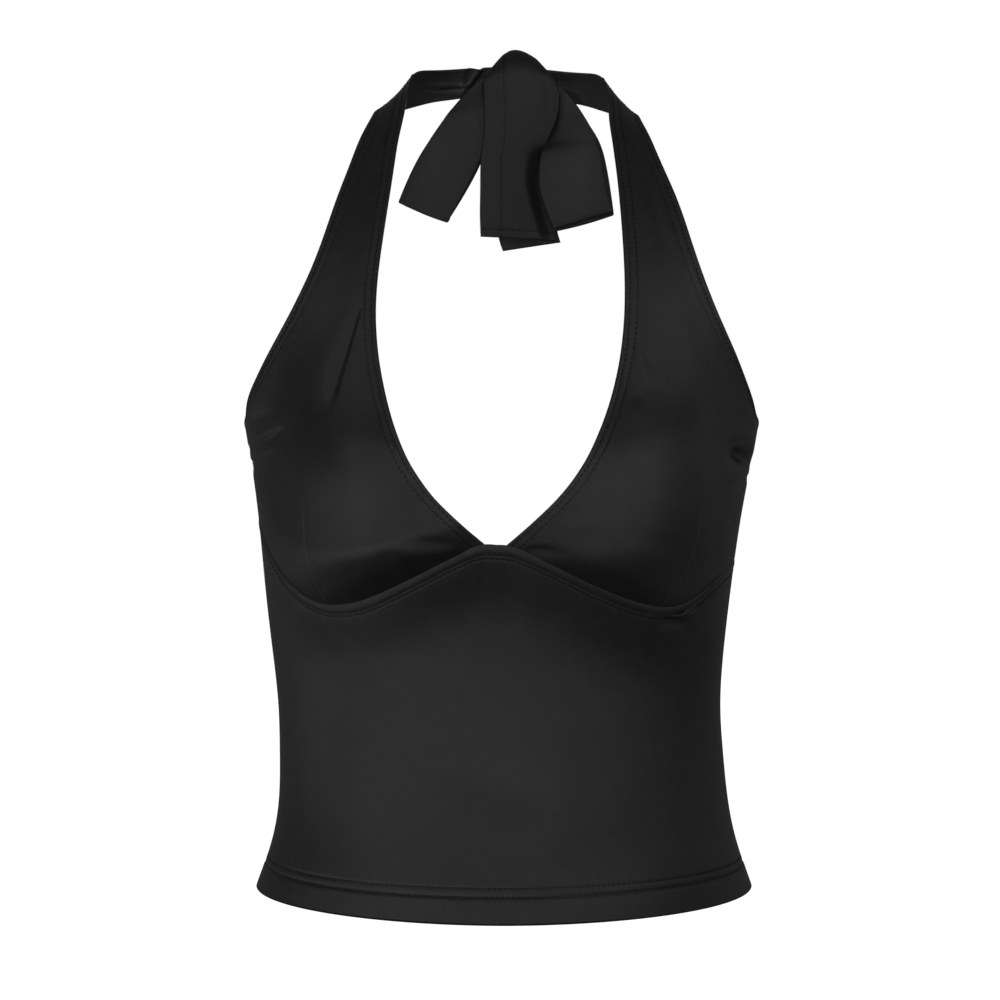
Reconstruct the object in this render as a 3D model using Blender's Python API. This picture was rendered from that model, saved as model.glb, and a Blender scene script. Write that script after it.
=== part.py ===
"""Halter-neck tank top of black stretch jersey, filled out as it is worn and tied in a bow.

Metres, +Z up, the front towards -Y, left and right as seen from the front. Heights in the
tables are measured above the hem, and HOLD_HEIGHT is taken off them last, so the origin is
in the middle of the neck loop.
"""

import math

import bpy
import numpy as np

CLOTH = 0.0014  # two layers of jersey sewn back to back
SEAM_GAP = 0.0003
HOLD_HEIGHT = 0.480
SIDE_SEAM = 90.0  # degrees from the centre front
BLACK = (0.012, 0.012, 0.013, 1.0)
JERSEY_ROUGHNESS = 0.8

FRONT_ROWS = 9
UNDER_CUP_ROWS = 5  # further rows of the front, closer together, below the underbust seam
UNDER_CUP_FROM = 0.80  # share of the front's height where they begin
CUP_ROWS = 9
ARMHOLE_FOLD_ROWS = 8
CUP_COLUMNS = 16
BACK_COLUMNS = 31
BAND_ROWS = 4
TIE_ROWS, TIE_COLUMNS = 14, 5
KNOT_RINGS, KNOT_SIDES = 15, 20
ANGLE_TRIES = 451
SHARP_EDGE = 50.0  # degrees


def spline(knots, values):
    """Natural cubic spline through one value, or one row of values, for each knot."""
    knots, values = np.asarray(knots, float), np.asarray(values, float)
    flat = values.reshape(len(knots), -1)
    step = np.diff(knots)
    slope = np.diff(flat, axis=0) / step[:, None]
    matrix, right = np.eye(len(knots)), np.zeros_like(flat)
    for i in range(1, len(knots) - 1):
        matrix[i, i - 1 : i + 2] = step[i - 1], 2 * (step[i - 1] + step[i]), step[i]
        right[i] = 6 * (slope[i] - slope[i - 1])
    bend = np.linalg.solve(matrix, right)

    def at(place):
        place = np.asarray(place, float)
        i = np.clip(np.searchsorted(knots, place, side="right") - 1, 0, len(step) - 1)
        left = (knots[i + 1] - place) / step[i]
        left, width = left[..., None], step[i][..., None]
        near = 1 - left
        curved = (left**3 - left) * bend[i] + (near**3 - near) * bend[i + 1]
        found = left * flat[i] + near * flat[i + 1] + curved * width**2 / 6
        return found.reshape(place.shape + values.shape[1:])

    return at


def table(columns, *rows):
    """A short table as smooth functions of its first column, by the names of the others."""
    data = np.array(rows, float)
    return {
        name: spline(data[:, 0], data[:, i])
        for i, name in enumerate(columns.split())
        if i > 0
    }


def ease(share):
    """0 to 1 with level ends."""
    share = np.clip(share, 0, 1)
    return share * share * (3 - 2 * share)


# The figure inside, as level sections. A roundness of 2 is an ellipse, and more is squarer.
FORM = table(
    "height half_breadth front back roundness",
    (0.000, 0.1488, 0.1170, 0.1080, 1.93),
    (0.014, 0.1438, 0.1120, 0.1020, 2.04),
    (0.030, 0.1388, 0.1062, 0.0950, 2.16),
    (0.050, 0.1349, 0.1000, 0.0870, 2.24),
    (0.080, 0.1327, 0.0930, 0.0780, 2.30),
    (0.110, 0.1322, 0.0900, 0.0745, 2.30),
    (0.140, 0.1345, 0.0900, 0.0768, 2.30),
    (0.175, 0.1383, 0.0943, 0.0838, 2.30),
    (0.211, 0.1421, 0.1005, 0.0900, 2.30),
    (0.240, 0.1462, 0.1020, 0.0943, 2.30),
    (0.257, 0.1493, 0.1020, 0.0965, 2.30),
    (0.274, 0.1522, 0.1008, 0.0980, 2.30),
    (0.300, 0.1565, 0.0970, 0.1000, 2.30),
    (0.350, 0.1630, 0.0850, 0.1000, 2.30),
    (0.400, 0.1600, 0.0620, 0.1000, 2.30),
    (0.450, 0.1300, 0.0300, 0.1000, 2.30),
)

# How far the cloth sits to one side, at its middle and at its side seams.
SWAY = table(
    "height middle sides",
    (0.000, 0.0012, 0.0012),
    (0.050, 0.0009, 0.0009),
    (0.100, -0.0012, -0.0012),
    (0.150, -0.0024, -0.0024),
    (0.211, -0.0033, -0.0015),
    (0.250, -0.0034, -0.0004),
    (0.300, -0.0023, 0.0003),
    (0.350, -0.0024, 0.0044),
    (0.400, -0.0004, 0.0066),
    (0.425, 0.0010, 0.0045),
    (0.450, 0.0021, 0.0021),
    (0.470, 0.0033, 0.0033),
    (0.490, 0.0035, 0.0035),
    (0.510, 0.0035, 0.0035),
)
SWAY_REACH = 0.150

# The seam under the cups, by the angle from the centre front in degrees. The garment sits a
# little askew, so the seam ends higher at the left side.
UNDERBUST = table(
    "angle right left",
    (0, 0.2116, 0.2116),
    (3.6, 0.2113, 0.2119),
    (10, 0.2074, 0.2084),
    (20, 0.1989, 0.1997),
    (35, 0.1852, 0.1854),
    (43, 0.1788, 0.1789),
    (48, 0.1758, 0.1767),
    (53, 0.1745, 0.1763),
    (57, 0.1756, 0.1782),
    (61, 0.1790, 0.1822),
    (66, 0.1853, 0.1902),
    (70, 0.1899, 0.1984),
    (77, 0.1948, 0.2125),
    (84, 0.1967, 0.2205),
    (90, 0.1978, 0.2245),
)
BAND = table(
    "angle width",
    (0, 0.0059),
    (20, 0.0057),
    (40, 0.0052),
    (55, 0.0046),
    (70, 0.0040),
    (90, 0.0035),
)
BAND_RISE = 0.0007  # the rounded middle of the band stands this proud
BAND_RISE_FADE = 12.0  # degrees over which it runs out before a side seam

# The top of the back, by the angle from the centre front, mirrored past the centre back.
BACK_TOP = table(
    "angle height",
    (90, 0.2740),
    (97, 0.2620),
    (106, 0.2460),
    (120, 0.2210),
    (140, 0.1985),
    (160, 0.1900),
    (180, 0.1880),
    (200, 0.1900),
    (220, 0.1985),
)

# How far a cup stands in front of the figure.
CUP = table(
    "height depth",
    (0.165, 0.0285),
    (0.205, 0.0305),
    (0.225, 0.0300),
    (0.250, 0.0255),
    (0.275, 0.0165),
    (0.300, 0.0085),
    (0.330, 0.0022),
    (0.360, 0.0000),
    (0.480, 0.0000),
)
CUP_MIDDLE = 0.080  # from the centre front
CUP_REACH_IN = 0.055
CUP_REACH_OUT = 0.052
CUP_ROUNDING = 0.040  # height over which a cup swells out of its seam
CUP_SIDE_FADE = 0.4  # cosine of the angle past which a cup runs out towards its side

# The full cups hold the underbust seam in front of the figure, and the cloth above and below
# falls back from it.
SEAM_FORWARD = 0.0080
SEAM_FORWARD_ABOVE = 0.027  # height over which the ridge falls off above the seam
SEAM_FORWARD_BELOW = 0.025

# The dart runs up a cup from the underbust seam.
DART = table(
    "height right left",
    (0.173, 0.0920, 0.0945),
    (0.190, 0.1025, 0.1030),
    (0.205, 0.1082, 0.1075),
    (0.218, 0.1104, 0.1092),
    (0.238, 0.1100, 0.1088),
)
DART_TOP = 0.238
DART_DEPTH = 0.0007
DART_FOOT = 53.0  # its angle from the centre front at the seam
DART_FADE = 0.012  # height over which it runs out
DART_SHARE = 0.52  # of the cup's width, where its dart lies
DART_HALF_SHARE = 0.02

# Edges of a cup and its strap: the neckline, and the armhole up from the armpit.
NECKLINE = table(
    "height x",
    (0.2122, 0.0064),
    (0.2251, 0.0204),
    (0.2363, 0.0321),
    (0.2475, 0.0415),
    (0.2586, 0.0490),
    (0.2697, 0.0543),
    (0.2920, 0.0620),
    (0.3143, 0.0672),
    (0.3481, 0.0701),
    (0.3804, 0.0685),
    (0.4181, 0.0650),
    (0.4374, 0.0629),
    (0.4530, 0.0609),
)
ARMHOLE = table(
    "height x",
    (0.2740, 0.1518),
    (0.2797, 0.1498),
    (0.2915, 0.1458),
    (0.3032, 0.1406),
    (0.3147, 0.1352),
    (0.3373, 0.1239),
    (0.3599, 0.1140),
    (0.3808, 0.1066),
    (0.4091, 0.0977),
    (0.4282, 0.0907),
    (0.4379, 0.0872),
    (0.4530, 0.0816),
)
ARMPIT = 0.2740
FOLD_FROM, FOLD_TO = 0.66, 0.96  # shares of a cup's height that the fold below the armhole takes
NOTCH = 3.6  # angle from the centre front where the neckline meets the underbust seam
STRAP_HEIGHTS = (0.2840, 0.2960, 0.3120, 0.3330, 0.3560, 0.3800, 0.4040, 0.4250, 0.4420)

# The deepest fold of the garment: the cloth is tucked in below the right armhole, and the tuck
# runs out across the cup and behind the side seam. Its line is given as seen from the front.
TUCK = table(
    "place x height depth",
    (0, 0.1270, 0.2660, 0.0000),
    (1, 0.1370, 0.2612, 0.0030),
    (2, 0.1460, 0.2575, 0.0048),
    (3, 0.1550, 0.2545, 0.0048),
)
TUCK_ABOVE = 0.0030  # half its width above the line
TUCK_BELOW = 0.0060
TUCK_BEHIND = 0.0300  # how far behind the side seam it runs out
TUCK_STEPS = 60

# Both edges of the strap over the side of the neck and of the tie behind it. The first edge
# is the one nearer the neck, and the crown is the rise of the middle between them.
CREST = (
    (0.0604, -0.0180, 0.4560, 0.0803, -0.0150, 0.4550, 0.0010),
    (0.0597, -0.0060, 0.4668, 0.0784, -0.0040, 0.4622, 0.0012),
    (0.0594, 0.0040, 0.4748, 0.0776, 0.0060, 0.4638, 0.0010),
    (0.0587, 0.0140, 0.4812, 0.0760, 0.0165, 0.4642, 0.0008),
    (0.0573, 0.0250, 0.4866, 0.0727, 0.0285, 0.4645, 0.0006),
)
TIE = (
    (0.0573, 0.0250, 0.4866, 0.0727, 0.0285, 0.4645, 0.0006),
    (0.0537, 0.0370, 0.4902, 0.0664, 0.0420, 0.4664, 0.0008),
    (0.0472, 0.0485, 0.4922, 0.0580, 0.0535, 0.4698, 0.0012),
    (0.0380, 0.0580, 0.4938, 0.0470, 0.0620, 0.4736, 0.0012),
    (0.0270, 0.0645, 0.4954, 0.0335, 0.0672, 0.4762, 0.0010),
    (0.0140, 0.0682, 0.4968, 0.0180, 0.0695, 0.4785, 0.0010),
    (0.0000, 0.0695, 0.4973, 0.0000, 0.0705, 0.4800, 0.0010),
)
NECK_LEAN = 0.018  # the left side of the neck loop stands higher: a fall for each metre across
NECK_LEAN_FROM = 0.445  # height where it begins
NECK_LEAN_OVER = 0.020  # height over which it grows
TIE_START = 0.03  # sections from the strap, which leaves the gap of their join
TIE_RIGHT_END = 4.80  # sections from the join where the right tie enters the knot
TIE_LEFT_END = 5.60

# The knot: a wrapped bundle with its axis from side to side.
KNOT_MIDDLE = (0.0052, 0.0626, 0.4852)
KNOT_HALF = (0.0155, 0.0096, 0.0168)
KNOT_FULLNESS = 2.2  # 2 is an ellipse, more is squarer
KNOT_WRAPS = 3
KNOT_GROOVE = 0.06  # of the radius
KNOT_END = 0.96  # how far out its end rings lie

# Strips of the bow, in the order in which the cloth runs: both edges, and the crown towards
# the cloth's outer face. The ends run up to the knot, and the loops down and up again.
TAIL_FRONT = (
    (-0.0167, 0.0505, 0.3912, 0.0306, 0.0535, 0.3890, 0.0010),
    (-0.0172, 0.0500, 0.4060, 0.0285, 0.0535, 0.4060, 0.0015),
    (-0.0170, 0.0498, 0.4220, 0.0230, 0.0530, 0.4220, 0.0018),
    (-0.0167, 0.0497, 0.4380, 0.0186, 0.0522, 0.4380, 0.0022),
    (-0.0149, 0.0498, 0.4520, 0.0252, 0.0508, 0.4520, 0.0028),
    (-0.0146, 0.0503, 0.4680, 0.0317, 0.0502, 0.4690, 0.0035),
    (-0.0152, 0.0518, 0.4860, 0.0304, 0.0518, 0.4850, 0.0043),
    (-0.0140, 0.0548, 0.4945, 0.0227, 0.0548, 0.4935, 0.0062),
    (-0.0104, 0.0612, 0.4988, 0.0177, 0.0612, 0.4988, 0.0084),
    (-0.0060, 0.0690, 0.4980, 0.0147, 0.0690, 0.4980, 0.0065),
)
TAIL_BACK = (
    (-0.0030, 0.0600, 0.3828, 0.0329, 0.0600, 0.3882, 0.0005),
    (-0.0062, 0.0600, 0.3930, 0.0302, 0.0600, 0.3985, 0.0010),
    (-0.0100, 0.0602, 0.4150, 0.0272, 0.0602, 0.4170, 0.0015),
    (-0.0095, 0.0605, 0.4400, 0.0227, 0.0605, 0.4400, 0.0020),
    (-0.0058, 0.0610, 0.4560, 0.0172, 0.0610, 0.4560, 0.0018),
    (-0.0013, 0.0620, 0.4680, 0.0117, 0.0620, 0.4680, 0.0006),
)
LOOP_LEFT = (
    (-0.0178, 0.0625, 0.4885, -0.0091, 0.0625, 0.4785, 0.0005),
    (-0.0357, 0.0590, 0.4690, -0.0123, 0.0590, 0.4620, 0.0015),
    (-0.0558, 0.0575, 0.4385, -0.0163, 0.0575, 0.4370, 0.0015),
    (-0.0667, 0.0560, 0.4145, -0.0354, 0.0560, 0.4030, 0.0010),
    (-0.0669, 0.0543, 0.4134, -0.0356, 0.0543, 0.4018, 0.0006),
    (-0.0667, 0.0526, 0.4145, -0.0354, 0.0526, 0.4030, 0.0010),
    (-0.0558, 0.0530, 0.4385, -0.0182, 0.0530, 0.4350, 0.0020),
    (-0.0426, 0.0535, 0.4587, -0.0128, 0.0535, 0.4540, 0.0022),
    (-0.0355, 0.0545, 0.4691, -0.0113, 0.0545, 0.4680, 0.0018),
    (-0.0178, 0.0585, 0.4885, -0.0093, 0.0585, 0.4785, 0.0005),
)
LOOP_RIGHT = (
    (0.0195, 0.0625, 0.4785, 0.0297, 0.0625, 0.4885, 0.0005),
    (0.0252, 0.0600, 0.4580, 0.0509, 0.0590, 0.4600, 0.0015),
    (0.0222, 0.0550, 0.4380, 0.0604, 0.0570, 0.4380, 0.0015),
    (0.0282, 0.0478, 0.3985, 0.0651, 0.0545, 0.4080, 0.0010),
    (0.0281, 0.0461, 0.3962, 0.0650, 0.0528, 0.4062, 0.0006),
    (0.0278, 0.0444, 0.3975, 0.0643, 0.0511, 0.4075, 0.0010),
    (0.0199, 0.0440, 0.4200, 0.0610, 0.0512, 0.4202, 0.0018),
    (0.0200, 0.0468, 0.4400, 0.0572, 0.0520, 0.4410, 0.0022),
    (0.0224, 0.0508, 0.4465, 0.0548, 0.0530, 0.4505, 0.0021),
    (0.0262, 0.0541, 0.4530, 0.0506, 0.0538, 0.4600, 0.0020),
    (0.0285, 0.0556, 0.4650, 0.0398, 0.0556, 0.4765, 0.0012),
    (0.0197, 0.0585, 0.4785, 0.0292, 0.0585, 0.4880, 0.0005),
)


def in_place(points, hung_from=None):
    """Shifts points sideways by the sway of their height, or by that of the height from which
    they hang, and counts heights from the hold."""
    moved = np.array(points, float)
    height = moved[..., 2] if hung_from is None else np.full(moved.shape[:-1], hung_from)
    outward = np.clip(np.abs(moved[..., 0]) / SWAY_REACH, 0, 1) ** 2
    middle, sides = SWAY["middle"](height), SWAY["sides"](height)
    moved[..., 0] += middle + (sides - middle) * outward
    moved[..., 2] -= HOLD_HEIGHT
    return moved


def form(angle, height):
    """Point of the figure at an angle in degrees from the centre front, and at a height.
    A level section is a squarish oval with a depth of its own in front and behind."""
    angle, height = np.broadcast_arrays(np.radians(angle), np.asarray(height, float))
    sine, cosine = np.sin(angle), np.cos(angle)
    depth = np.where(cosine > 0, FORM["front"](height), FORM["back"](height))
    power = FORM["roundness"](height)
    sides = (np.abs(sine) / FORM["half_breadth"](height)) ** power
    ends = (np.abs(cosine) / depth) ** power
    reach = (sides + ends) ** (-1 / power)
    return np.stack([reach * sine, -reach * cosine, height], axis=-1)


def underbust(angle):
    """Height of the seam under the cups, at an angle to the left or the right."""
    away = np.abs(angle)
    return np.where(angle < 0, UNDERBUST["left"](away), UNDERBUST["right"](away))


def held_forward(angle, height, above_seam):
    """Point of the figure with the ridge along the underbust seam in front of it: a bell over
    the distance from the seam, which runs out towards the sides."""
    point = form(angle, height)
    reach = np.where(above_seam > 0, SEAM_FORWARD_ABOVE, SEAM_FORWARD_BELOW)
    bell = np.exp(-((above_seam / reach) ** 2))
    point[..., 1] -= SEAM_FORWARD * bell * ease(np.cos(np.radians(angle)) / CUP_SIDE_FADE)
    return point


def body_form(angle, height):
    return held_forward(angle, height, height - underbust(angle))


def cup_form(angle, height, side):
    """The figure with a cup pushed forward out of it, from nothing at the underbust seam."""
    above_seam = height - UNDERBUST[side](angle)
    point = held_forward(angle, height, above_seam)
    offset = point[..., 0] - CUP_MIDDLE
    reach = np.where(offset < 0, CUP_REACH_IN, CUP_REACH_OUT)
    across = np.exp(-((offset / reach) ** 2)) * ease(np.cos(np.radians(angle)) / CUP_SIDE_FADE)
    swell = np.sin(np.clip(above_seam / CUP_ROUNDING, 0, 1) * math.pi / 2)
    point[..., 1] -= CUP["depth"](height) * across * swell
    return point


def angle_at(x, height):
    """The angle from the centre front at which the figure is x to the side."""
    tries = np.linspace(0, SIDE_SEAM, ANGLE_TRIES)
    x, height = np.broadcast_arrays(x, height)
    found = [
        np.interp(each, form(tries, level)[:, 0], tries)
        for each, level in zip(x.ravel(), height.ravel())
    ]
    return np.reshape(found, x.shape)


def normals(grid):
    """Unit normals of a grid of points, from its differences along both of its ways."""
    along, across = np.gradient(grid, axis=0), np.gradient(grid, axis=1)
    normal = np.cross(across, along)
    return normal / np.linalg.norm(normal, axis=-1, keepdims=True)


def strip(sections, places, share):
    """A strip of cloth through table rows of both edges and the crown between them, read at
    the given places along the table and shares of the way across."""
    rows = spline(np.arange(len(sections)), sections)(places)[:, None, :]
    share = share[None, :, None]
    flat = rows[..., 0:3] * (1 - share) + rows[..., 3:6] * share
    return flat + normals(flat) * rows[..., 6:7] * 4 * share * (1 - share)


def tucked(points):
    """Sinks the tuck below the armhole into a grid, level towards the garment's middle. Across
    its line the depth falls off as a bell, and along it the depth follows the table."""
    places = np.linspace(0, 3, TUCK_STEPS)
    line = np.stack([TUCK["x"](places), TUCK["height"](places) - HOLD_HEIGHT], axis=-1)
    away = points[:, :, None, [0, 2]] - line
    closest = (away**2).sum(axis=-1).argmin(axis=-1)
    offset = np.take_along_axis(away, closest[..., None, None], axis=2)[:, :, 0]
    width = np.where(offset[..., 1] > 0, TUCK_ABOVE, TUCK_BELOW)
    depth = TUCK["depth"](places)[closest] * np.exp(-(offset**2).sum(axis=-1) / width**2)
    depth *= 1 - ease(points[..., 1] / TUCK_BEHIND)
    inward = -points * (1, 1, 0)
    return points + inward / np.linalg.norm(inward, axis=-1, keepdims=True) * depth[..., None]


def cloth_material(name):
    material = bpy.data.materials.new(name)
    material.use_nodes = True
    surface = material.node_tree.nodes["Principled BSDF"]
    surface.inputs["Base Color"].default_value = BLACK
    surface.inputs["Roughness"].default_value = JERSEY_ROUGHNESS
    surface.inputs["Metallic"].default_value = 0.0
    material.diffuse_color = BLACK
    return material


def add_mesh(name, points, faces):
    mesh = bpy.data.meshes.new(name)
    mesh.from_pydata(points.tolist(), [], faces)
    mesh.materials.append(cloth_material(name))
    mesh.shade_smooth()
    mesh.set_sharp_from_angle(angle=math.radians(SHARP_EDGE))
    made = bpy.data.objects.new(name, mesh)
    bpy.context.scene.collection.objects.link(made)
    return made


def add_cloth(name, grid, side="right", hung_from=None):
    """One piece of cloth: a grid of its outer face, with the wall's thickness behind it. A
    left piece is worked out as if it lay on the right, and is mirrored here."""
    if side == "left":
        grid = grid[:, ::-1] * (-1, 1, 1)
    rows, columns = grid.shape[:2]
    first = np.arange(rows * columns).reshape(rows, columns)
    corners = first[:-1, :-1], first[:-1, 1:], first[1:, 1:], first[1:, :-1]
    faces = np.stack(corners, axis=-1).reshape(-1, 4)
    points = in_place(grid, hung_from)
    if name in ("cup_right", "back_body"):
        points = tucked(points)
    made = add_mesh(name, points.reshape(-1, 3), faces.tolist())
    wall = made.modifiers.new("Wall", "SOLIDIFY")
    wall.thickness = CLOTH
    wall.offset = -1
    wall.use_even_offset = True


def neck_strip(sections, places, share, side):
    """A strip of the neck loop, higher on the left and lower on the right."""
    points = strip(sections, places, share)
    fall = NECK_LEAN * points[..., 0] * (1 if side == "right" else -1)
    points[..., 2] -= fall * ease((points[..., 2] - NECK_LEAN_FROM) / NECK_LEAN_OVER)
    return points


def side_gap():
    """Half the gap of a side seam, in degrees round the figure."""
    return math.degrees(SEAM_GAP / 2 / FORM["half_breadth"](ARMPIT))


def cup_columns():
    """Shares of a cup's width: even ones, but with a narrow pair beside the dart."""
    evenly = np.linspace(0, 1, CUP_COLUMNS)
    at_dart = DART_SHARE + DART_HALF_SHARE * np.array([-1, 0, 1])
    apart = np.abs(evenly[:, None] - at_dart).min(axis=1) > DART_HALF_SHARE
    return np.sort(np.concatenate([evenly[apart], at_dart]))


def cup_levels():
    """Shares of a cup's height: even ones, but closer together across the fold."""
    evenly = np.linspace(0, 1, CUP_ROWS)
    at_fold = np.linspace(FOLD_FROM, FOLD_TO, ARMHOLE_FOLD_ROWS)
    apart = (evenly < FOLD_FROM) | (evenly > FOLD_TO)
    return np.sort(np.concatenate([evenly[apart], at_fold]))


def dart_bend(height, inner, outer, side):
    """How far the columns of a cup are bent aside to follow its dart, row by row."""
    height = np.minimum(height, DART_TOP)
    dart = (angle_at(DART[side](height), height) - inner) / (outer - inner)
    return (dart - DART_SHARE) / (DART_SHARE * (1 - DART_SHARE))


def cup_rows(side):
    """Angles and heights of a cup, in rows from the underbust seam to a level row at the
    armpit. The columns bend to follow the dart."""
    column = cup_columns()[None, :]
    up = cup_levels()[:, None]
    seam = UNDERBUST[side]
    outer = SIDE_SEAM - side_gap()
    neckline = seam(NOTCH) * (1 - up) + ARMPIT * up
    inner = angle_at(NECKLINE["x"](neckline), neckline)
    seam_bend = dart_bend(seam(DART_FOOT), inner[0], outer, side)
    seam_angle = inner[0] + (outer - inner[0]) * (column + seam_bend * column * (1 - column))
    height = seam(seam_angle) * (1 - up) + ARMPIT * up
    lowest = height.min(axis=1)[:, None]
    share = column + dart_bend(lowest, inner, outer, side) * column * (1 - column)
    return inner + (outer - inner) * share, height, share[-1]


def seam_angles():
    """Angles of the points that the cups, the band and the front share along their seams."""
    left, right = cup_rows("left")[0][0], cup_rows("right")[0][0]
    return np.concatenate([-left[::-1], [0], right])[None, :]


def front_top(angle):
    return underbust(angle) - BAND["width"](np.abs(angle)) - SEAM_GAP


def front_levels():
    """Shares of the front's height: even ones, and closer ones below the underbust seam."""
    even = np.linspace(0, UNDER_CUP_FROM, FRONT_ROWS)
    close = np.linspace(UNDER_CUP_FROM, 1, UNDER_CUP_ROWS + 1)
    return np.concatenate([even, close[1:]])


def add_front_body():
    angle = seam_angles()
    add_cloth("front_body", body_form(angle, front_levels()[:, None] * front_top(angle)))


def side_seam_rows(side):
    """Shares of a side seam's height at which the front's rows and the cup's rows end."""
    angle = SIDE_SEAM if side == "right" else -SIDE_SEAM
    front = front_levels() * front_top(angle)
    cup = underbust(angle) + (ARMPIT - underbust(angle)) * cup_levels()
    return np.concatenate([front, cup])[:, None] / ARMPIT


def add_back_body():
    """Its rows meet those of the front and the cups at the side seams."""
    first = SIDE_SEAM + side_gap()
    round_back = np.linspace(0, 1, BACK_COLUMNS)[None, :]
    angle = first + (360 - 2 * first) * round_back
    right, left = side_seam_rows("right"), side_seam_rows("left")
    top = BACK_TOP["height"](np.where(angle > 180, 360 - angle, angle))
    add_cloth("back_body", form(angle, (right + (left - right) * round_back) * top))


def add_band():
    angle = seam_angles()
    share = np.linspace(0, 1, BAND_ROWS)[:, None]
    width = BAND["width"](np.abs(angle)) - SEAM_GAP
    flat = body_form(angle, underbust(angle) - SEAM_GAP - width * (1 - share))
    fade = ease((SIDE_SEAM - np.abs(angle)) / BAND_RISE_FADE)
    rise = BAND_RISE * 4 * share * (1 - share) * fade
    add_cloth("underbust_band", flat + normals(flat) * rise[..., None])


def cup_grid(side):
    """A cup: rows from the underbust seam to the armpit, then level rows up the strap, then
    sections over the side of the neck."""
    angle, height, share = cup_rows(side)
    below = cup_form(angle, height, side)
    beside_dart = np.clip(1 - np.abs(cup_columns() - DART_SHARE) / DART_HALF_SHARE, 0, 1)
    depth = DART_DEPTH * beside_dart * ease((DART_TOP - height) / DART_FADE)
    below -= normals(below) * depth[..., None]

    height = np.array(STRAP_HEIGHTS)[:, None]
    inner = angle_at(NECKLINE["x"](height), height)
    outer = angle_at(ARMHOLE["x"](height), height)
    above = cup_form(inner + (outer - inner) * share, height, side)
    crest = neck_strip(CREST, np.arange(len(CREST)), share, side)
    return np.concatenate([below, above, crest])


def add_cups():
    for side in ("right", "left"):
        add_cloth(f"cup_{side}", cup_grid(side), side)


def add_ties():
    for side, end in (("right", TIE_RIGHT_END), ("left", TIE_LEFT_END)):
        places = np.linspace(TIE_START, end, TIE_ROWS)
        share = np.linspace(0, 1, TIE_COLUMNS)
        add_cloth(f"tie_{side}", neck_strip(TIE, places, share, side), side)


def add_knot():
    """Rings round the knot's axis, their radius falling to its ends and in each groove."""
    along = np.sin(np.linspace(-KNOT_END, KNOT_END, KNOT_RINGS) * math.pi / 2)
    turn = np.linspace(0, 2 * math.pi, KNOT_SIDES, endpoint=False)
    radius = (1 - np.abs(along) ** KNOT_FULLNESS) ** (1 / KNOT_FULLNESS)
    radius -= KNOT_GROOVE * (0.5 - 0.5 * np.cos(2 * math.pi * KNOT_WRAPS * along))
    unit = np.stack(
        np.broadcast_arrays(
            along[:, None],
            -radius[:, None] * np.cos(turn),
            radius[:, None] * np.sin(turn),
        ),
        axis=-1,
    )
    points = (unit * KNOT_HALF + KNOT_MIDDLE).reshape(-1, 3)
    first = np.arange(len(points)).reshape(len(along), len(turn))
    after = np.roll(first, -1, axis=1)
    sides = np.stack([first[:-1], first[1:], after[1:], after[:-1]], axis=-1)
    faces = sides.reshape(-1, 4).tolist()
    faces += [first[0].tolist(), first[-1, ::-1].tolist()]
    add_mesh("knot", in_place(points, KNOT_MIDDLE[2]), faces)


def add_bow():
    for name, sections, rows, columns in (
        ("tail_front", TAIL_FRONT, 22, 8),
        ("tail_back", TAIL_BACK, 12, 6),
        ("loop_left", LOOP_LEFT, 28, 6),
        ("loop_right", LOOP_RIGHT, 34, 6),
    ):
        places = np.linspace(0, len(sections) - 1, rows)
        grid = strip(sections, places, np.linspace(0, 1, columns))
        add_cloth(name, grid, hung_from=KNOT_MIDDLE[2])


def main():
    for old in list(bpy.data.objects):
        bpy.data.objects.remove(old)
    add_front_body()
    add_back_body()
    add_band()
    add_cups()
    add_ties()
    add_knot()
    add_bow()


main()
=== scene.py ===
"""Halter-neck tank top of black stretch jersey: its cloth, seams, stitches and folds.

Metres, +Z up, the front towards -Y, left and right as seen from the front. Heights in the
tables are measured above the hem, and the origin is where the neck loop is held. Each piece of
cloth is a fine grid over the form of its own solid. Seams, folds and fullness are lines along
which the grid is raised or sunk, by less than 10 mm, and the grid is then closed into a wall with
a rolled edge.
"""

import math

import bpy
import numpy as np
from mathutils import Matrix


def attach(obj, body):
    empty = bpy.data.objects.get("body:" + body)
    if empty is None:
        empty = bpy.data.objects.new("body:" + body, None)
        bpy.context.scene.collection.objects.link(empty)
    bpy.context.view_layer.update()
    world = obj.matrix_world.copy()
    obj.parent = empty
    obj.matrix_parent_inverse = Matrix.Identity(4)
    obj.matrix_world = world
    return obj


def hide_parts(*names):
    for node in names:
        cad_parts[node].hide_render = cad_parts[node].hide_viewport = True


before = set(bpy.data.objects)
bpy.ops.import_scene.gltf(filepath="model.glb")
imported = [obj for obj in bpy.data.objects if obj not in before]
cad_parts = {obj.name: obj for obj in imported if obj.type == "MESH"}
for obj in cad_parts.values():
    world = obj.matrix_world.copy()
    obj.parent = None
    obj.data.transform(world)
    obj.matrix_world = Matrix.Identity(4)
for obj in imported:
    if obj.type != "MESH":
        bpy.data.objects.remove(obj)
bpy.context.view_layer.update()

# The jersey. Two layers of black stretch jersey are taken to lie back to back. It is a fine,
# smooth knit, matt when it hangs and a little lustrous where it is drawn over a curve, and it
# looks a shade greyer along its edges and seams. Light is also painted into its greyness: a
# painted highlight over the bust and along the band's upper edge, painted shade on the band's
# lower half, and ties and loops painted lighter, the right tie most.

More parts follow.
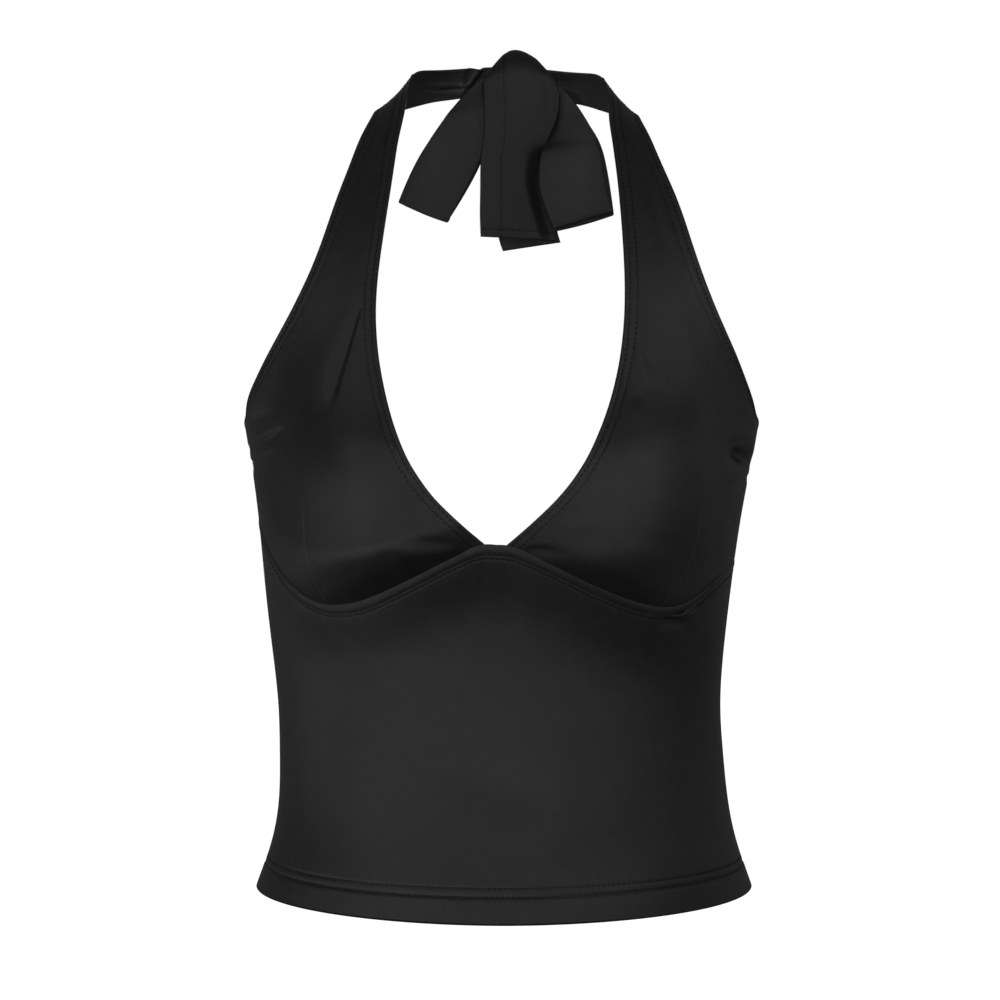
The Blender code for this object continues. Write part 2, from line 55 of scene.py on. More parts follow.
CLOTH = 0.0014  # both layers together
WALE = 0.00064  # width of a column of knit stitches
COURSE = 0.00050  # height of a row of them
KNIT_RELIEF = 0.00006
BLACK_DYE = (0.0076, 0.0076, 0.0079, 1.0)
GREY_FIBRE = (0.0420, 0.0420, 0.0430, 1.0)
JERSEY_ROUGHNESS = 0.37
ROUGHNESS_SPREAD = 0.16
EVEN_GREY = 0.10  # share of grey fibre in plain cloth, and how far mottling and knit shift it
FINE_MOTTLE = 0.36
BROAD_MOTTLE = 0.26
KNIT_MOTTLE = 0.06
GREYNESS_SHARE = 0.50  # share of grey fibre that a greyness of 1 adds; the greyness also carries painted light
THREAD_DARK = (0.002, 0.002, 0.002, 1.0)
THREAD_LIGHT = (0.008, 0.008, 0.008, 1.0)


class Shade:
    """A shader socket to reckon with. An operator adds its Math node and gives its result."""

    def __init__(self, tree, socket=None):
        self.tree = tree
        self.socket = socket

    def node(self, kind, settings, inputs, output=0):
        """Adds any node. Its settings are set first, then its sockets get values or links."""
        made = self.tree.nodes.new(kind)
        for name, value in settings.items():
            setattr(made, name, value)
        for name, value in inputs.items():
            if isinstance(value, Shade):
                self.tree.links.new(value.socket, made.inputs[name])
            else:
                made.inputs[name].default_value = value
        return Shade(self.tree, made.outputs[output])

    def reckon(self, operation, *values):
        return self.node("ShaderNodeMath", {"operation": operation}, dict(enumerate(values)))

    def __add__(self, other):
        return self.reckon("ADD", self, other)

    __radd__ = __add__

    def __sub__(self, other):
        return self.reckon("SUBTRACT", self, other)

    def __rsub__(self, other):
        return self.reckon("SUBTRACT", other, self)

    def __mul__(self, other):
        return self.reckon("MULTIPLY", self, other)

    __rmul__ = __mul__

    def __abs__(self):
        return self.reckon("ABSOLUTE", self)

    def feed(self, socket):
        self.tree.links.new(self.socket, socket)


def new_surface(name, roughness, specular, sheen, sheen_roughness):
    """A material with its Principled shader, whose even values are set on its own sockets."""
    material = bpy.data.materials.new(name)
    material.use_nodes = True
    surface = material.node_tree.nodes["Principled BSDF"]
    surface.inputs["Roughness"].default_value = roughness
    surface.inputs["Specular IOR Level"].default_value = specular
    surface.inputs["Sheen Weight"].default_value = sheen
    surface.inputs["Sheen Roughness"].default_value = sheen_roughness
    return material, surface.inputs, Shade(material.node_tree)


def jersey_material():
    """Knit stitches from the cloth's own map, in metres: a wale has two legs that lean apart,
    and a course is one bulge of each leg. Broad and fine mottling shift the dye a little."""
    material, inputs, start = new_surface("black_jersey", JERSEY_ROUGHNESS, 0.50, 0.02, 0.40)
    cloth_map = start.node("ShaderNodeUVMap", {"uv_map": "cloth"}, {})
    across = start.node("ShaderNodeSeparateXYZ", {}, {0: cloth_map}, "X")
    along = start.node("ShaderNodeSeparateXYZ", {}, {0: cloth_map}, "Y")
    off_middle = abs(start.reckon("FRACT", across * (1 / WALE)) - 0.5)
    off_leg = (off_middle - 0.25) * 4
    leg = 1 - off_leg * off_leg
    in_course = start.reckon("FRACT", along * (1 / COURSE) + off_middle * 1.3) * 2 - 1
    knit = leg * (1 - 0.5 * in_course * in_course)

    place = start.node("ShaderNodeTexCoord", {}, {}, "Object")
    noise = {"Vector": place, "Detail": 3.0, "Roughness": 0.6}
    fine = start.node("ShaderNodeTexNoise", {}, {**noise, "Scale": 420.0})
    broad = start.node("ShaderNodeTexNoise", {}, {**noise, "Scale": 110.0})
    # The vertex greyness: greyer edges and seams, with painted highlights, painted shade and painted
    # light on ties and loops.
    painted_light_and_greyness = start.node("ShaderNodeAttribute", {"attribute_name": "greyness_and_painted_light"}, {}, "Fac")
    mottle = EVEN_GREY + FINE_MOTTLE * (fine - 0.5) + BROAD_MOTTLE * (broad - 0.5)
    grey = mottle + KNIT_MOTTLE * (knit - 0.5) + painted_light_and_greyness * GREYNESS_SHARE
    dye = start.node(
        "ShaderNodeMix",
        {"data_type": "RGBA", "clamp_factor": True},
        {"Factor": grey, 6: BLACK_DYE, 7: GREY_FIBRE},
        2,
    )
    dye.feed(inputs["Base Color"])
    (JERSEY_ROUGHNESS + ROUGHNESS_SPREAD * (fine - 0.5)).feed(inputs["Roughness"])
    bump = start.node(
        "ShaderNodeBump", {}, {"Strength": 1.0, "Distance": KNIT_RELIEF, "Height": knit + fine}
    )
    bump.feed(inputs["Normal"])
    return material


def thread_material():
    """Spun thread: twisted plies as slanting bands along the stitch, in its own map."""
    material, inputs, start = new_surface("black_thread", 0.7, 0.25, 0.0, 0.5)
    thread_map = start.node("ShaderNodeUVMap", {"uv_map": "cloth"}, {})
    ply = start.node(
        "ShaderNodeTexWave",
        {"wave_type": "BANDS", "bands_direction": "DIAGONAL"},
        {"Vector": thread_map, "Scale": 900.0},
        "Fac",
    )
    dye = start.node(
        "ShaderNodeMix",
        {"data_type": "RGBA"},
        {"Factor": ply * 0.5, 6: THREAD_DARK, 7: THREAD_LIGHT},
        2,
    )
    dye.feed(inputs["Base Color"])
    return material


JERSEY = jersey_material()
THREAD = thread_material()


# The front body: one panel from side seam to side seam, and from the turned hem up to the seam
# under the cups. The hem is turned up once and sewn with a twin needle, and a row of stitches
# runs under the band.

HOLD_HEIGHT = 0.480  # of the origin, above the hem
SIDE_SEAM = 90.0  # degrees from the centre front
SEAM_GAP = 0.0003
ARMPIT = 0.2740
FRONT_COLUMNS = 261
HEM_FOLD = 0.0150  # the lower row of stitches, above the hem's edge
HEM_ROWS = (HEM_FOLD, 0.0196)
HEM_PROUD = 0.00022  # how far the doubled hem stands out
HEM_GROOVES = (0.00052, 0.00034)  # depths under its rows
HEM_STRIP, HEM_STEPS = 0.026, 42  # the finely divided part along the hem, and its rows
TOP_STRIP, TOP_STEPS = 0.010, 15  # and along an upper edge
MIDDLE_STEPS = 76
PUCKER = 0.0062  # between the small pulls of the hem's stitches
PUCKER_DEPTH = 0.00007
PUCKER_PLACE = (0.0185, 0.0045)  # their middle above the hem, and half their height
SEAM_STITCH = 0.0021  # below the front's upper edge
SEAM_GROOVE = 0.00022
SEAM_GREY = 0.14  # the greyness along it, as far as this angle, and how far it takes to run out
SEAM_GREY_TO, SEAM_GREY_OVER = 20, 25
EDGE_GREY = 0.30  # the greyness at every border of a piece, and its width
EDGE_GREY_WIDTH = 0.0009
STITCH = 0.0020
STITCH_PITCH = 0.0031
THREAD_RADIUS = 0.00024
SEWN_EDGE = 0.0003  # how far an edge rounds off where it is sewn to its neighbour
SEAM_LAP = 0.0002  # how far the band laps its neighbours


def spline(knots, values):
    """Natural cubic spline through one value, or one row of values, for each knot."""
    knots, values = np.asarray(knots, float), np.asarray(values, float)
    flat = values.reshape(len(knots), -1)
    step = np.diff(knots)
    slope = np.diff(flat, axis=0) / step[:, None]
    matrix, right = np.eye(len(knots)), np.zeros_like(flat)
    for i in range(1, len(knots) - 1):
        matrix[i, i - 1 : i + 2] = step[i - 1], 2 * (step[i - 1] + step[i]), step[i]
        right[i] = 6 * (slope[i] - slope[i - 1])
    bend = np.linalg.solve(matrix, right)

    def at(place):
        place = np.asarray(place, float)
        i = np.clip(np.searchsorted(knots, place, side="right") - 1, 0, len(step) - 1)
        left = (knots[i + 1] - place) / step[i]
        left, width = left[..., None], step[i][..., None]
        near = 1 - left
        curved = (left**3 - left) * bend[i] + (near**3 - near) * bend[i + 1]
        found = left * flat[i] + near * flat[i + 1] + curved * width**2 / 6
        return found.reshape(place.shape + values.shape[1:])

    return at


def table(columns, *rows):
    """A short table as smooth functions of its first column, by the names of the others."""
    data = np.array(rows, float)
    return {
        name: spline(data[:, 0], data[:, i])
        for i, name in enumerate(columns.split())
        if i > 0
    }


# The figure inside, as level sections. A roundness of 2 is an ellipse, and more is squarer.
FORM = table(
    "height half_breadth front back roundness",
    (0.000, 0.1488, 0.1170, 0.1080, 1.93),
    (0.014, 0.1438, 0.1120, 0.1020, 2.04),
    (0.030, 0.1388, 0.1062, 0.0950, 2.16),
    (0.050, 0.1349, 0.1000, 0.0870, 2.24),
    (0.080, 0.1327, 0.0930, 0.0780, 2.30),
    (0.110, 0.1322, 0.0900, 0.0745, 2.30),
    (0.140, 0.1345, 0.0900, 0.0768, 2.30),
    (0.175, 0.1383, 0.0943, 0.0838, 2.30),
    (0.211, 0.1421, 0.1005, 0.0900, 2.30),
    (0.240, 0.1462, 0.1020, 0.0943, 2.30),
    (0.257, 0.1493, 0.1020, 0.0965, 2.30),
    (0.274, 0.1522, 0.1008, 0.0980, 2.30),
    (0.300, 0.1565, 0.0970, 0.1000, 2.30),
    (0.350, 0.1630, 0.0850, 0.1000, 2.30),
    (0.400, 0.1600, 0.0620, 0.1000, 2.30),
    (0.450, 0.1300, 0.0300, 0.1000, 2.30),
)

# How far the cloth sits to one side, at its middle and at its side seams.
SWAY = table(
    "height middle sides",
    (0.000, 0.0012, 0.0012),
    (0.050, 0.0009, 0.0009),
    (0.100, -0.0012, -0.0012),
    (0.150, -0.0024, -0.0024),
    (0.211, -0.0033, -0.0015),
    (0.250, -0.0034, -0.0004),
    (0.300, -0.0023, 0.0003),
    (0.350, -0.0024, 0.0044),
    (0.400, -0.0004, 0.0066),
    (0.425, 0.0010, 0.0045),
    (0.450, 0.0021, 0.0021),
    (0.470, 0.0033, 0.0033),
    (0.490, 0.0035, 0.0035),
    (0.510, 0.0035, 0.0035),
)
SWAY_REACH = 0.150

# The seam under the cups and the band along it, by the angle from the centre front in degrees.
UNDERBUST = table(
    "angle right left",
    (0, 0.2116, 0.2116),
    (3.6, 0.2113, 0.2119),
    (10, 0.2074, 0.2084),
    (20, 0.1989, 0.1997),
    (35, 0.1852, 0.1854),
    (43, 0.1788, 0.1789),
    (48, 0.1758, 0.1767),
    (53, 0.1745, 0.1763),
    (57, 0.1756, 0.1782),
    (61, 0.1790, 0.1822),
    (66, 0.1853, 0.1902),
    (70, 0.1899, 0.1984),
    (77, 0.1948, 0.2125),
    (84, 0.1967, 0.2205),
    (90, 0.1978, 0.2245),
)
BAND = table(
    "angle width",
    (0, 0.0059),
    (20, 0.0057),
    (40, 0.0052),
    (55, 0.0046),
    (70, 0.0040),
    (90, 0.0035),
)

# The full cups hold the seam under them in front of the figure, and the cloth above and below
# falls back from it.
SEAM_FORWARD = 0.0080
SEAM_FORWARD_ABOVE = 0.027  # height over which the ridge falls off above the seam
SEAM_FORWARD_BELOW = 0.025
SIDE_FADE = 0.4  # cosine of the angle past which ridge and cups run out towards the sides

# Folds, each as half its width above and below its line, and then its line: how far across,
# how high above the hem, and how far raised or, below zero, sunk.
FRONT_FOLDS = (
    (0.0022, 0.0028, (0.094, 0.1705, 0.0000), (0.104, 0.1695, 0.0016), (0.121, 0.1700, 0.0000)),
    (0.0022, 0.0050, (0.084, 0.1695, 0.0000), (0.098, 0.1660, -0.0022), (0.118, 0.1650, 0.0000)),
    (0.0320, 0.0400, (0.030, 0.1500, 0.0000), (0.044, 0.0800, 0.0044), (0.056, 0.0160, 0.0000)),
    (0.0140, 0.0110, (-0.052, 0.0960, 0.0000), (0.004, 0.0700, -0.0013), (0.040, 0.0720, 0.0000)),
    (0.0120, 0.0100, (-0.100, 0.1280, 0.0000), (-0.088, 0.0760, 0.0011), (-0.084, 0.0280, 0.0000)),
    (0.0090, 0.0120, (-0.120, 0.1360, 0.0000), (-0.060, 0.1340, 0.0007), (0.030, 0.1300, 0.0000)),
)


def ease(share):
    """0 to 1 with level ends."""
    share = np.clip(share, 0, 1)
    return share * share * (3 - 2 * share)


def near(distance, place, half_width):
    """1 on the line at a distance, falling to nothing on both sides as a bell."""
    return np.exp(-(((distance - place) / half_width) ** 2))


def sewn_sides(points):
    """How far each border rounds off on a piece that is sewn along its top and both sides."""
    reach = np.full(points.shape[:2], CLOTH / 2)
    reach[-1] = reach[:, 0] = reach[:, -1] = SEWN_EDGE
    return reach


def in_place(points, hung_from=None):
    """Shifts points sideways by the sway of their height, or by that of the height from which
    they hang, and counts heights from the hold."""
    moved = np.array(points, float)
    height = moved[..., 2] if hung_from is None else np.full(moved.shape[:-1], hung_from)
    outward = np.clip(np.abs(moved[..., 0]) / SWAY_REACH, 0, 1) ** 2
    middle, sides = SWAY["middle"](height), SWAY["sides"](height)
    moved[..., 0] += middle + (sides - middle) * outward
    moved[..., 2] -= HOLD_HEIGHT
    return moved


def form(angle, height):
    """Point of the figure at an angle in degrees from the centre front, and at a height.
    A level section is a squarish oval with a depth of its own in front and behind."""
    angle, height = np.broadcast_arrays(np.radians(angle), np.asarray(height, float))
    sine, cosine = np.sin(angle), np.cos(angle)
    depth = np.where(cosine > 0, FORM["front"](height), FORM["back"](height))
    power = FORM["roundness"](height)
    sides = (np.abs(sine) / FORM["half_breadth"](height)) ** power
    ends = (np.abs(cosine) / depth) ** power
    reach = (sides + ends) ** (-1 / power)
    return np.stack([reach * sine, -reach * cosine, height], axis=-1)


def underbust(angle):
    """Height of the seam under the cups, at an angle to the left or the right."""
    away = np.abs(angle)
    return np.where(angle < 0, UNDERBUST["left"](away), UNDERBUST["right"](away))


def held_forward(angle, height, above_seam):
    """Point of the figure with the ridge along the underbust seam in front of it: a bell over
    the distance from the seam, which runs out towards the sides."""
    point = form(angle, height)
    reach = np.where(above_seam > 0, SEAM_FORWARD_ABOVE, SEAM_FORWARD_BELOW)
    bell = np.exp(-((above_seam / reach) ** 2))
    point[..., 1] -= SEAM_FORWARD * bell * ease(np.cos(np.radians(angle)) / SIDE_FADE)
    return point


def body_form(angle, height):
    return held_forward(angle, height, height - underbust(angle))


def front_top(angle):
    return underbust(angle) - BAND["width"](np.abs(angle)) - SEAM_GAP


def stretches(start, *ends):
    """Places in stretches, each to an end with a number of steps."""
    places = [np.array([start])]
    for end, steps in ends:
        places.append(np.linspace(places[-1][-1], end, steps + 1)[1:])
    return np.concatenate(places)


def body_rows(top):
    """Heights from the hem to an upper edge: level along the hem, and fine there and at the
    top, as a hem strip, a middle that takes up the difference, and a strip below the edge."""
    hem = stretches(0, (HEM_STRIP, HEM_STEPS))[:, None]
    middle = stretches(0, (1, MIDDLE_STEPS))[1:-1, None]
    upper = stretches(TOP_STRIP, (0, TOP_STEPS))[:, None]
    between = HEM_STRIP + (top - TOP_STRIP - HEM_STRIP) * middle
    return np.concatenate([hem + 0 * top, between, top - upper])


def normals(grid):
    """Unit normals of a grid of points, from its differences along both of its ways."""
    along, across = np.gradient(grid, axis=0), np.gradient(grid, axis=1)
    normal = np.cross(across, along)
    return normal / np.linalg.norm(normal, axis=-1, keepdims=True)


def lengths(grid, axis):
    """Distance travelled along one way of a grid, from its first row or column."""
    steps = np.linalg.norm(np.diff(grid, axis=axis), axis=-1)
    first = np.zeros_like(np.take(steps, [0], axis=axis))
    return np.concatenate([first, np.cumsum(steps, axis=axis)], axis=axis)


def folded(points, folds):
    """Raises or sinks a grid along fold lines, seen from the front. Across a line the height
    falls off as a bell with its own width on each side. Along it the height follows the
    stations, and runs out softly at an end whose height is zero."""
    seen = points[..., [0, 2]] + (0, HOLD_HEIGHT)
    rise = np.zeros(points.shape[:2])
    for above, below, *stations in folds:
        stations = np.array(stations)
        places = np.linspace(0, len(stations) - 1, 60)
        line = spline(np.arange(len(stations)), stations)(places)
        for end in (0, -1):
            if stations[end, 2] == 0:
                line[:, 2] *= ease(np.abs(places - places[end]) / 0.7)
        away = seen[:, :, None, :] - line[:, :2]
        closest = (away**2).sum(axis=-1).argmin(axis=-1)
        offset = np.take_along_axis(away, closest[..., None, None], axis=2)[:, :, 0]
        way = np.gradient(line, axis=0)[closest]
        step = (offset * way[..., :2]).sum(axis=-1) / (way[..., :2] ** 2).sum(axis=-1)
        step = np.clip(step, -0.5, 0.5)[..., None]
        offset = offset - way[..., :2] * step
        raised = line[closest, 2] + way[..., 2] * step[..., 0]
        over = way[..., 0] * offset[..., 1] - way[..., 1] * offset[..., 0] > 0
        width = np.where(over, above, below)
        rise += raised * np.exp(-(offset**2).sum(axis=-1) / width**2)
    return points + normals(points) * rise[..., None]


def hem_relief(height, around):
    """The turned hem stands out a little, each row of its stitches lies in a groove, and the
    cloth between the rows is drawn into small uneven puckers."""
    doubled = HEM_PROUD * ease((HEM_FOLD - height) / 0.0025)
    grooves = HEM_GROOVES[0] * near(height, HEM_ROWS[0], 0.0009)
    grooves += HEM_GROOVES[1] * near(height, HEM_ROWS[1], 0.0007)
    uneven = 0.6 + 0.4 * np.sin(around / 0.031) * np.sin(around / 0.0127 + 1)
    pull = np.sin(2 * math.pi * around / PUCKER + 2 * np.sin(around / 0.021))
    return doubled - grooves + PUCKER_DEPTH * uneven * pull * near(height, *PUCKER_PLACE)


def closed_wall(points, edge_reach, thickness):
    """A wall behind a grid of its outer face. Half an oval joins both faces round the border,
    as wide as the wall is thick, and reaches edge_reach in from the piece's outline."""
    rows, columns = points.shape[:2]
    edge_reach = np.broadcast_to(edge_reach, (rows, columns))[..., None]
    normal = normals(points)
    outward = np.zeros_like(points)
    for line, inner in ((np.s_[0], np.s_[1]), (np.s_[-1], np.s_[-2])):
        outward[line] += unit(points[line] - points[inner])
        outward[:, line] += unit(points[:, line] - points[:, inner])
    border = outward.any(axis=-1, keepdims=True)
    outward = np.where(border, unit(outward + 1e-12), 0)
    faces = [points - outward * edge_reach, points - outward * edge_reach - normal * thickness]

    index = np.arange(rows * columns).reshape(rows, columns)
    right, left = index[1:, -1], index[-2:0:-1, 0]
    loop = np.concatenate([index[0], right, index[-1, -2::-1], left])
    edge, edge_normal, rounding = (
        a.reshape(-1, 3)[loop] for a in (points, normal, outward * edge_reach)
    )
    rings = [
        edge - edge_normal * thickness / 2 * (1 - math.cos(turn)) - rounding * (1 - math.sin(turn))
        for turn in np.radians([36, 72, 108, 144])
    ]
    vertices = np.concatenate([f.reshape(-1, 3) for f in faces] + rings)

    count = rows * columns
    front = np.stack([index[:-1, :-1], index[:-1, 1:], index[1:, 1:], index[1:, :-1]], axis=-1)
    behind = front[..., ::-1] + count
    ring_index = 2 * count + np.arange(len(rings) * len(loop)).reshape(len(rings), -1)
    around = np.concatenate([loop[None], ring_index, loop[None] + count])
    after = np.roll(around, -1, axis=1)
    rim = np.stack([after[:-1], around[:-1], around[1:], after[1:]], axis=-1)
    quads = np.concatenate([f.reshape(-1, 4) for f in (front, behind, rim)])
    source = np.concatenate([index.ravel(), index.ravel(), np.tile(loop, len(rings))])
    return vertices, quads, source


def unit(vectors):
    return vectors / np.linalg.norm(vectors, axis=-1, keepdims=True)


def add_object(name, vertices, faces, cloth_map, greyness_and_painted_light, material):
    """Puts a mesh in the scene, with its map in metres and its greyness at each vertex."""
    mesh = bpy.data.meshes.new(name)
    mesh.from_pydata(vertices.tolist(), [], faces)
    corner = np.zeros(len(mesh.loops), np.int32)
    mesh.loops.foreach_get("vertex_index", corner)
    layer = mesh.uv_layers.new(name="cloth")
    layer.data.foreach_set("uv", cloth_map[corner].astype(np.float32).ravel())
    attribute = mesh.attributes.new("greyness_and_painted_light", "FLOAT", "POINT")
    attribute.data.foreach_set("value", greyness_and_painted_light.astype(np.float32))
    mesh.materials.append(material)
    mesh.shade_smooth()
    made = bpy.data.objects.new(name, mesh)
    bpy.context.scene.collection.objects.link(made)
    return made


def cloth_map_of(points):
    """A grid's map in metres: across along each row, and along square to the rows, so that it
    is not sheared where the columns slant. The rows slide with the middle column."""
    middle = points.shape[1] // 2
    steps = np.diff(points, axis=0)
    slide = (steps * unit(np.gradient(points, axis=1))[1:]).sum(axis=-1)
    rise = np.sqrt(np.maximum((steps**2).sum(axis=-1) - slide**2, 0))
    first = np.zeros_like(rise[:1])
    along = np.concatenate([first, np.cumsum(rise, axis=0)])
    slid = np.concatenate([first, np.cumsum(slide, axis=0)])[:, [middle]]
    across = lengths(points, 1)
    return np.stack([across - across[:, [middle]] + slid, along], axis=-1)


def add_cloth(node, points, greyness_and_painted_light, edge_reach=CLOTH / 2):
    """A piece of cloth that stands for the solid of the same name, a shade greyer at its edges."""
    across, along = lengths(points, 1), lengths(points, 0)
    edges = np.minimum(
        np.minimum(along, along[-1] - along), np.minimum(across, across[:, [-1]] - across)
    )
    greyness_and_painted_light = greyness_and_painted_light + EDGE_GREY * near(edges, 0, EDGE_GREY_WIDTH)
    vertices, quads, source = closed_wall(points, edge_reach, CLOTH)
    cloth_map = cloth_map_of(points).reshape(-1, 2)[source]
    name = f"cloth_{node}"
    made = add_object(name, vertices, quads.tolist(), cloth_map, greyness_and_painted_light.ravel()[source], JERSEY)
    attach(made, "root")
    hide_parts(node)
    return made


def line_at(points, distance, place):
    """The line across a grid's rows where a distance, which grows along each row, is at a
    place. Returns its points and normals."""
    first = np.clip((distance < place).sum(axis=1) - 1, 0, distance.shape[1] - 2)[:, None]
    before = np.take_along_axis(distance, first, 1)
    after = np.take_along_axis(distance, first + 1, 1)
    share = ((place - before) / (after - before))[..., None]
    found = []
    for field in (points, normals(points)):
        low = np.take_along_axis(field, first[..., None], 1)
        high = np.take_along_axis(field, first[..., None] + 1, 1)
        found.append((low + (high - low) * share)[:, 0])
    return found


def add_stitches(name, lines, pitch=STITCH_PITCH, length=STITCH, radius=THREAD_RADIUS):
    """Rows of stitches as one mesh. Each stitch is a short round thread that rises out of the
    cloth, lies on it and dips in again: five rings of six points along the line."""
    along = np.array([0.0, 0.14, 0.5, 0.86, 1.0]) * length
    lift = np.array([-0.9, 0.25, 0.6, 0.25, -0.9]) * radius
    thickness = np.array([0.45, 1.0, 1.0, 1.0, 0.45]) * radius
    turn = np.linspace(0, 2 * math.pi, 6, endpoint=False)
    made, maps = [], []
    for points, normal in lines:
        travelled = np.concatenate([[0], np.cumsum(np.linalg.norm(np.diff(points, axis=0), axis=1))])
        starts = np.arange(0.3 * pitch, travelled[-1] - pitch, pitch)
        reached = starts[:, None] + along
        centre = np.stack([np.interp(reached, travelled, points[:, i]) for i in range(3)], -1)
        up = unit(np.stack([np.interp(reached, travelled, normal[:, i]) for i in range(3)], -1))
        side = unit(np.cross(up, np.gradient(centre, axis=1)))
        circle = side[:, :, None] * np.cos(turn)[:, None] + up[:, :, None] * np.sin(turn)[:, None]
        centre = centre + up * lift[:, None]
        made.append((centre[:, :, None] + circle * thickness[:, None, None]).reshape(-1, 3))
        ring = reached[..., None] + 0 * turn
        maps.append(np.stack([ring, radius * turn + 0 * ring], axis=-1).reshape(-1, 2))
    vertices, thread_map = np.concatenate(made), np.concatenate(maps)

    ring = np.arange(30).reshape(5, 6)
    after = np.roll(ring, -1, axis=1)
    sides = np.stack([ring[:-1], ring[1:], after[1:], after[:-1]], axis=-1).reshape(-1, 4)
    offset = np.arange(0, len(vertices), 30)[:, None, None]
    faces = (sides + offset).reshape(-1, 4).tolist()
    caps = np.stack([ring[0], ring[-1, ::-1]])
    faces += (caps + offset).reshape(-1, 6).tolist()
    stitches = add_object(name, vertices, faces, thread_map, np.zeros(len(vertices)), THREAD)
    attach(stitches, "root")
    return stitches


def transposed(grid):
    return np.swapaxes(grid, 0, 1)


def level_line(points, distance, place):
    """As line_at, for a distance that grows up each column."""
    found, normal = line_at(transposed(points), transposed(distance), place)
    return found, -normal


angle = np.linspace(-SIDE_SEAM, SIDE_SEAM, FRONT_COLUMNS)[None, :]
height = body_rows(front_top(angle))
below_top = front_top(angle) - height
points = in_place(body_form(angle, height))
relief = hem_relief(height, lengths(points, 1))
relief -= SEAM_GROOVE * near(below_top, SEAM_STITCH, 0.0006)
points = folded(points + normals(points) * relief[..., None], FRONT_FOLDS)
runs_out = ease((SEAM_GREY_TO - angle) / SEAM_GREY_OVER)
greyness_and_painted_light = SEAM_GREY * near(below_top, SEAM_STITCH, 0.0008) * runs_out
cloth = add_cloth("front_body", points, greyness_and_painted_light, sewn_sides(points))
rows = [level_line(points, height, place) for place in HEM_ROWS]
rows += [level_line(points, -below_top, -SEAM_STITCH)]
stitching = add_stitches("stitches_front_body", rows)


# The back body: one panel from side seam to side seam, cut low and level across the shoulder
# blades. Its top edge is turned in and held by a twin row, and its hem runs on from the front.

BACK_COLUMNS = 261
EDGE_ROWS = (0.0030, 0.0070)  # twin needle rows inside a finished edge
EDGE_PROUD = 0.00022  # how far a turned edge stands out
EDGE_GROOVES = (0.00022, 0.00016)  # depths under its rows
EDGE_GROOVE_WIDTH = 0.0008

# The top of the back, by the angle from the centre front, mirrored past the centre back.
BACK_TOP = table(
    "angle height",
    (90, 0.2740),
    (97, 0.2620),
    (106, 0.2460),
    (120, 0.2210),
    (140, 0.1985),
    (160, 0.1900),
    (180, 0.1880),
    (200, 0.1900),
    (220, 0.1985),
)
BACK_FOLDS = (
    (0.0060, 0.0090, (-0.120, 0.1180, 0.0), (-0.085, 0.1120, -0.0012), (-0.035, 0.1150, 0.0)),
    (0.0050, 0.0070, (0.118, 0.1040, 0.0), (0.090, 0.0990, -0.0010), (0.050, 0.1020, 0.0)),
    (0.0060, 0.0060, (-0.060, 0.0880, 0.0), (-0.020, 0.0830, 0.0010), (0.030, 0.0870, 0.0)),
    (0.0040, 0.0060, (0.128, 0.2060, 0.0), (0.112, 0.1970, -0.0014), (0.090, 0.1800, 0.0)),
    (0.0040, 0.0060, (-0.130, 0.2120, 0.0), (-0.112, 0.1990, -0.0016), (-0.094, 0.1850, 0.0)),
)


# The deepest fold: the cloth is tucked in below the right armhole, and the tuck runs out
# across the cup and behind the side seam. Its line is given as seen from the front.
TUCK = table(
    "place x height depth",
    (0, 0.1270, 0.2660, 0.0000),
    (1, 0.1340, 0.2632, 0.0044),
    (2, 0.1425, 0.2612, 0.0094),
    (3, 0.1520, 0.2592, 0.0090),
)
TUCK_ABOVE = 0.0040  # half its width above the line
TUCK_BELOW = 0.0072
TUCK_TO = 0.1432  # how far across it is deep, and how much further it runs out
TUCK_OUT = 0.0062
TUCK_BEHIND = 0.0120  # how far behind the side seam it runs out
TUCK_STEPS = 110


def tucked(points):
    """Sinks the tuck below the armhole into a grid, level towards the garment's middle. Across
    its line the depth falls off as a bell, and along it the depth follows the table."""
    places = np.linspace(0, 3, TUCK_STEPS)
    line = np.stack([TUCK["x"](places), TUCK["height"](places) - HOLD_HEIGHT], axis=-1)
    away = points[:, :, None, [0, 2]] - line
    closest = (away**2).sum(axis=-1).argmin(axis=-1)
    offset = np.take_along_axis(away, closest[..., None, None], axis=2)[:, :, 0]
    width = np.where(offset[..., 1] > 0, TUCK_ABOVE, TUCK_BELOW)
    depth = TUCK["depth"](places)[closest] * np.exp(-(offset**2).sum(axis=-1) / width**2)
    depth *= 1 - ease((points[..., 0] - TUCK_TO) / TUCK_OUT)
    depth *= 1 - ease(points[..., 1] / TUCK_BEHIND)
    return points - unit(points * (1, 1, 0)) * depth[..., None]


def finished_edge(distance):
    """A turned edge: two layers more at the edge, and a groove under each row of stitches."""
    rolled = EDGE_PROUD * ease((EDGE_ROWS[0] - distance) / 0.0018)
    first, second = (
        depth * near(distance, row, EDGE_GROOVE_WIDTH) for depth, row in zip(EDGE_GROOVES, EDGE_ROWS)
    )
    return rolled - first - second


angle = np.linspace(SIDE_SEAM, 360 - SIDE_SEAM, BACK_COLUMNS)[None, :]
back_top = BACK_TOP["height"](np.where(angle > 180, 360 - angle, angle))
height = body_rows(back_top)
below_top = back_top - height
points = tucked(in_place(form(angle, height)))
relief = hem_relief(height, lengths(points, 1)) + finished_edge(below_top)
points = folded(points + normals(points) * relief[..., None], BACK_FOLDS)
reach = sewn_sides(points)
reach[-1] = CLOTH / 2
cloth = add_cloth("back_body", points, np.zeros(height.shape), reach)
rows = [level_line(points, height, place) for place in HEM_ROWS]
rows += [level_line(points, -below_top, -place) for place in EDGE_ROWS]
stitching = add_stitches("stitches_back_body", rows)


# The band: a narrow folded strip of the same jersey, let into the seam under the cups. It
# stands proud as a soft roll from side seam to side seam. A highlight is painted along its
# upper edge and shade over its lower half.

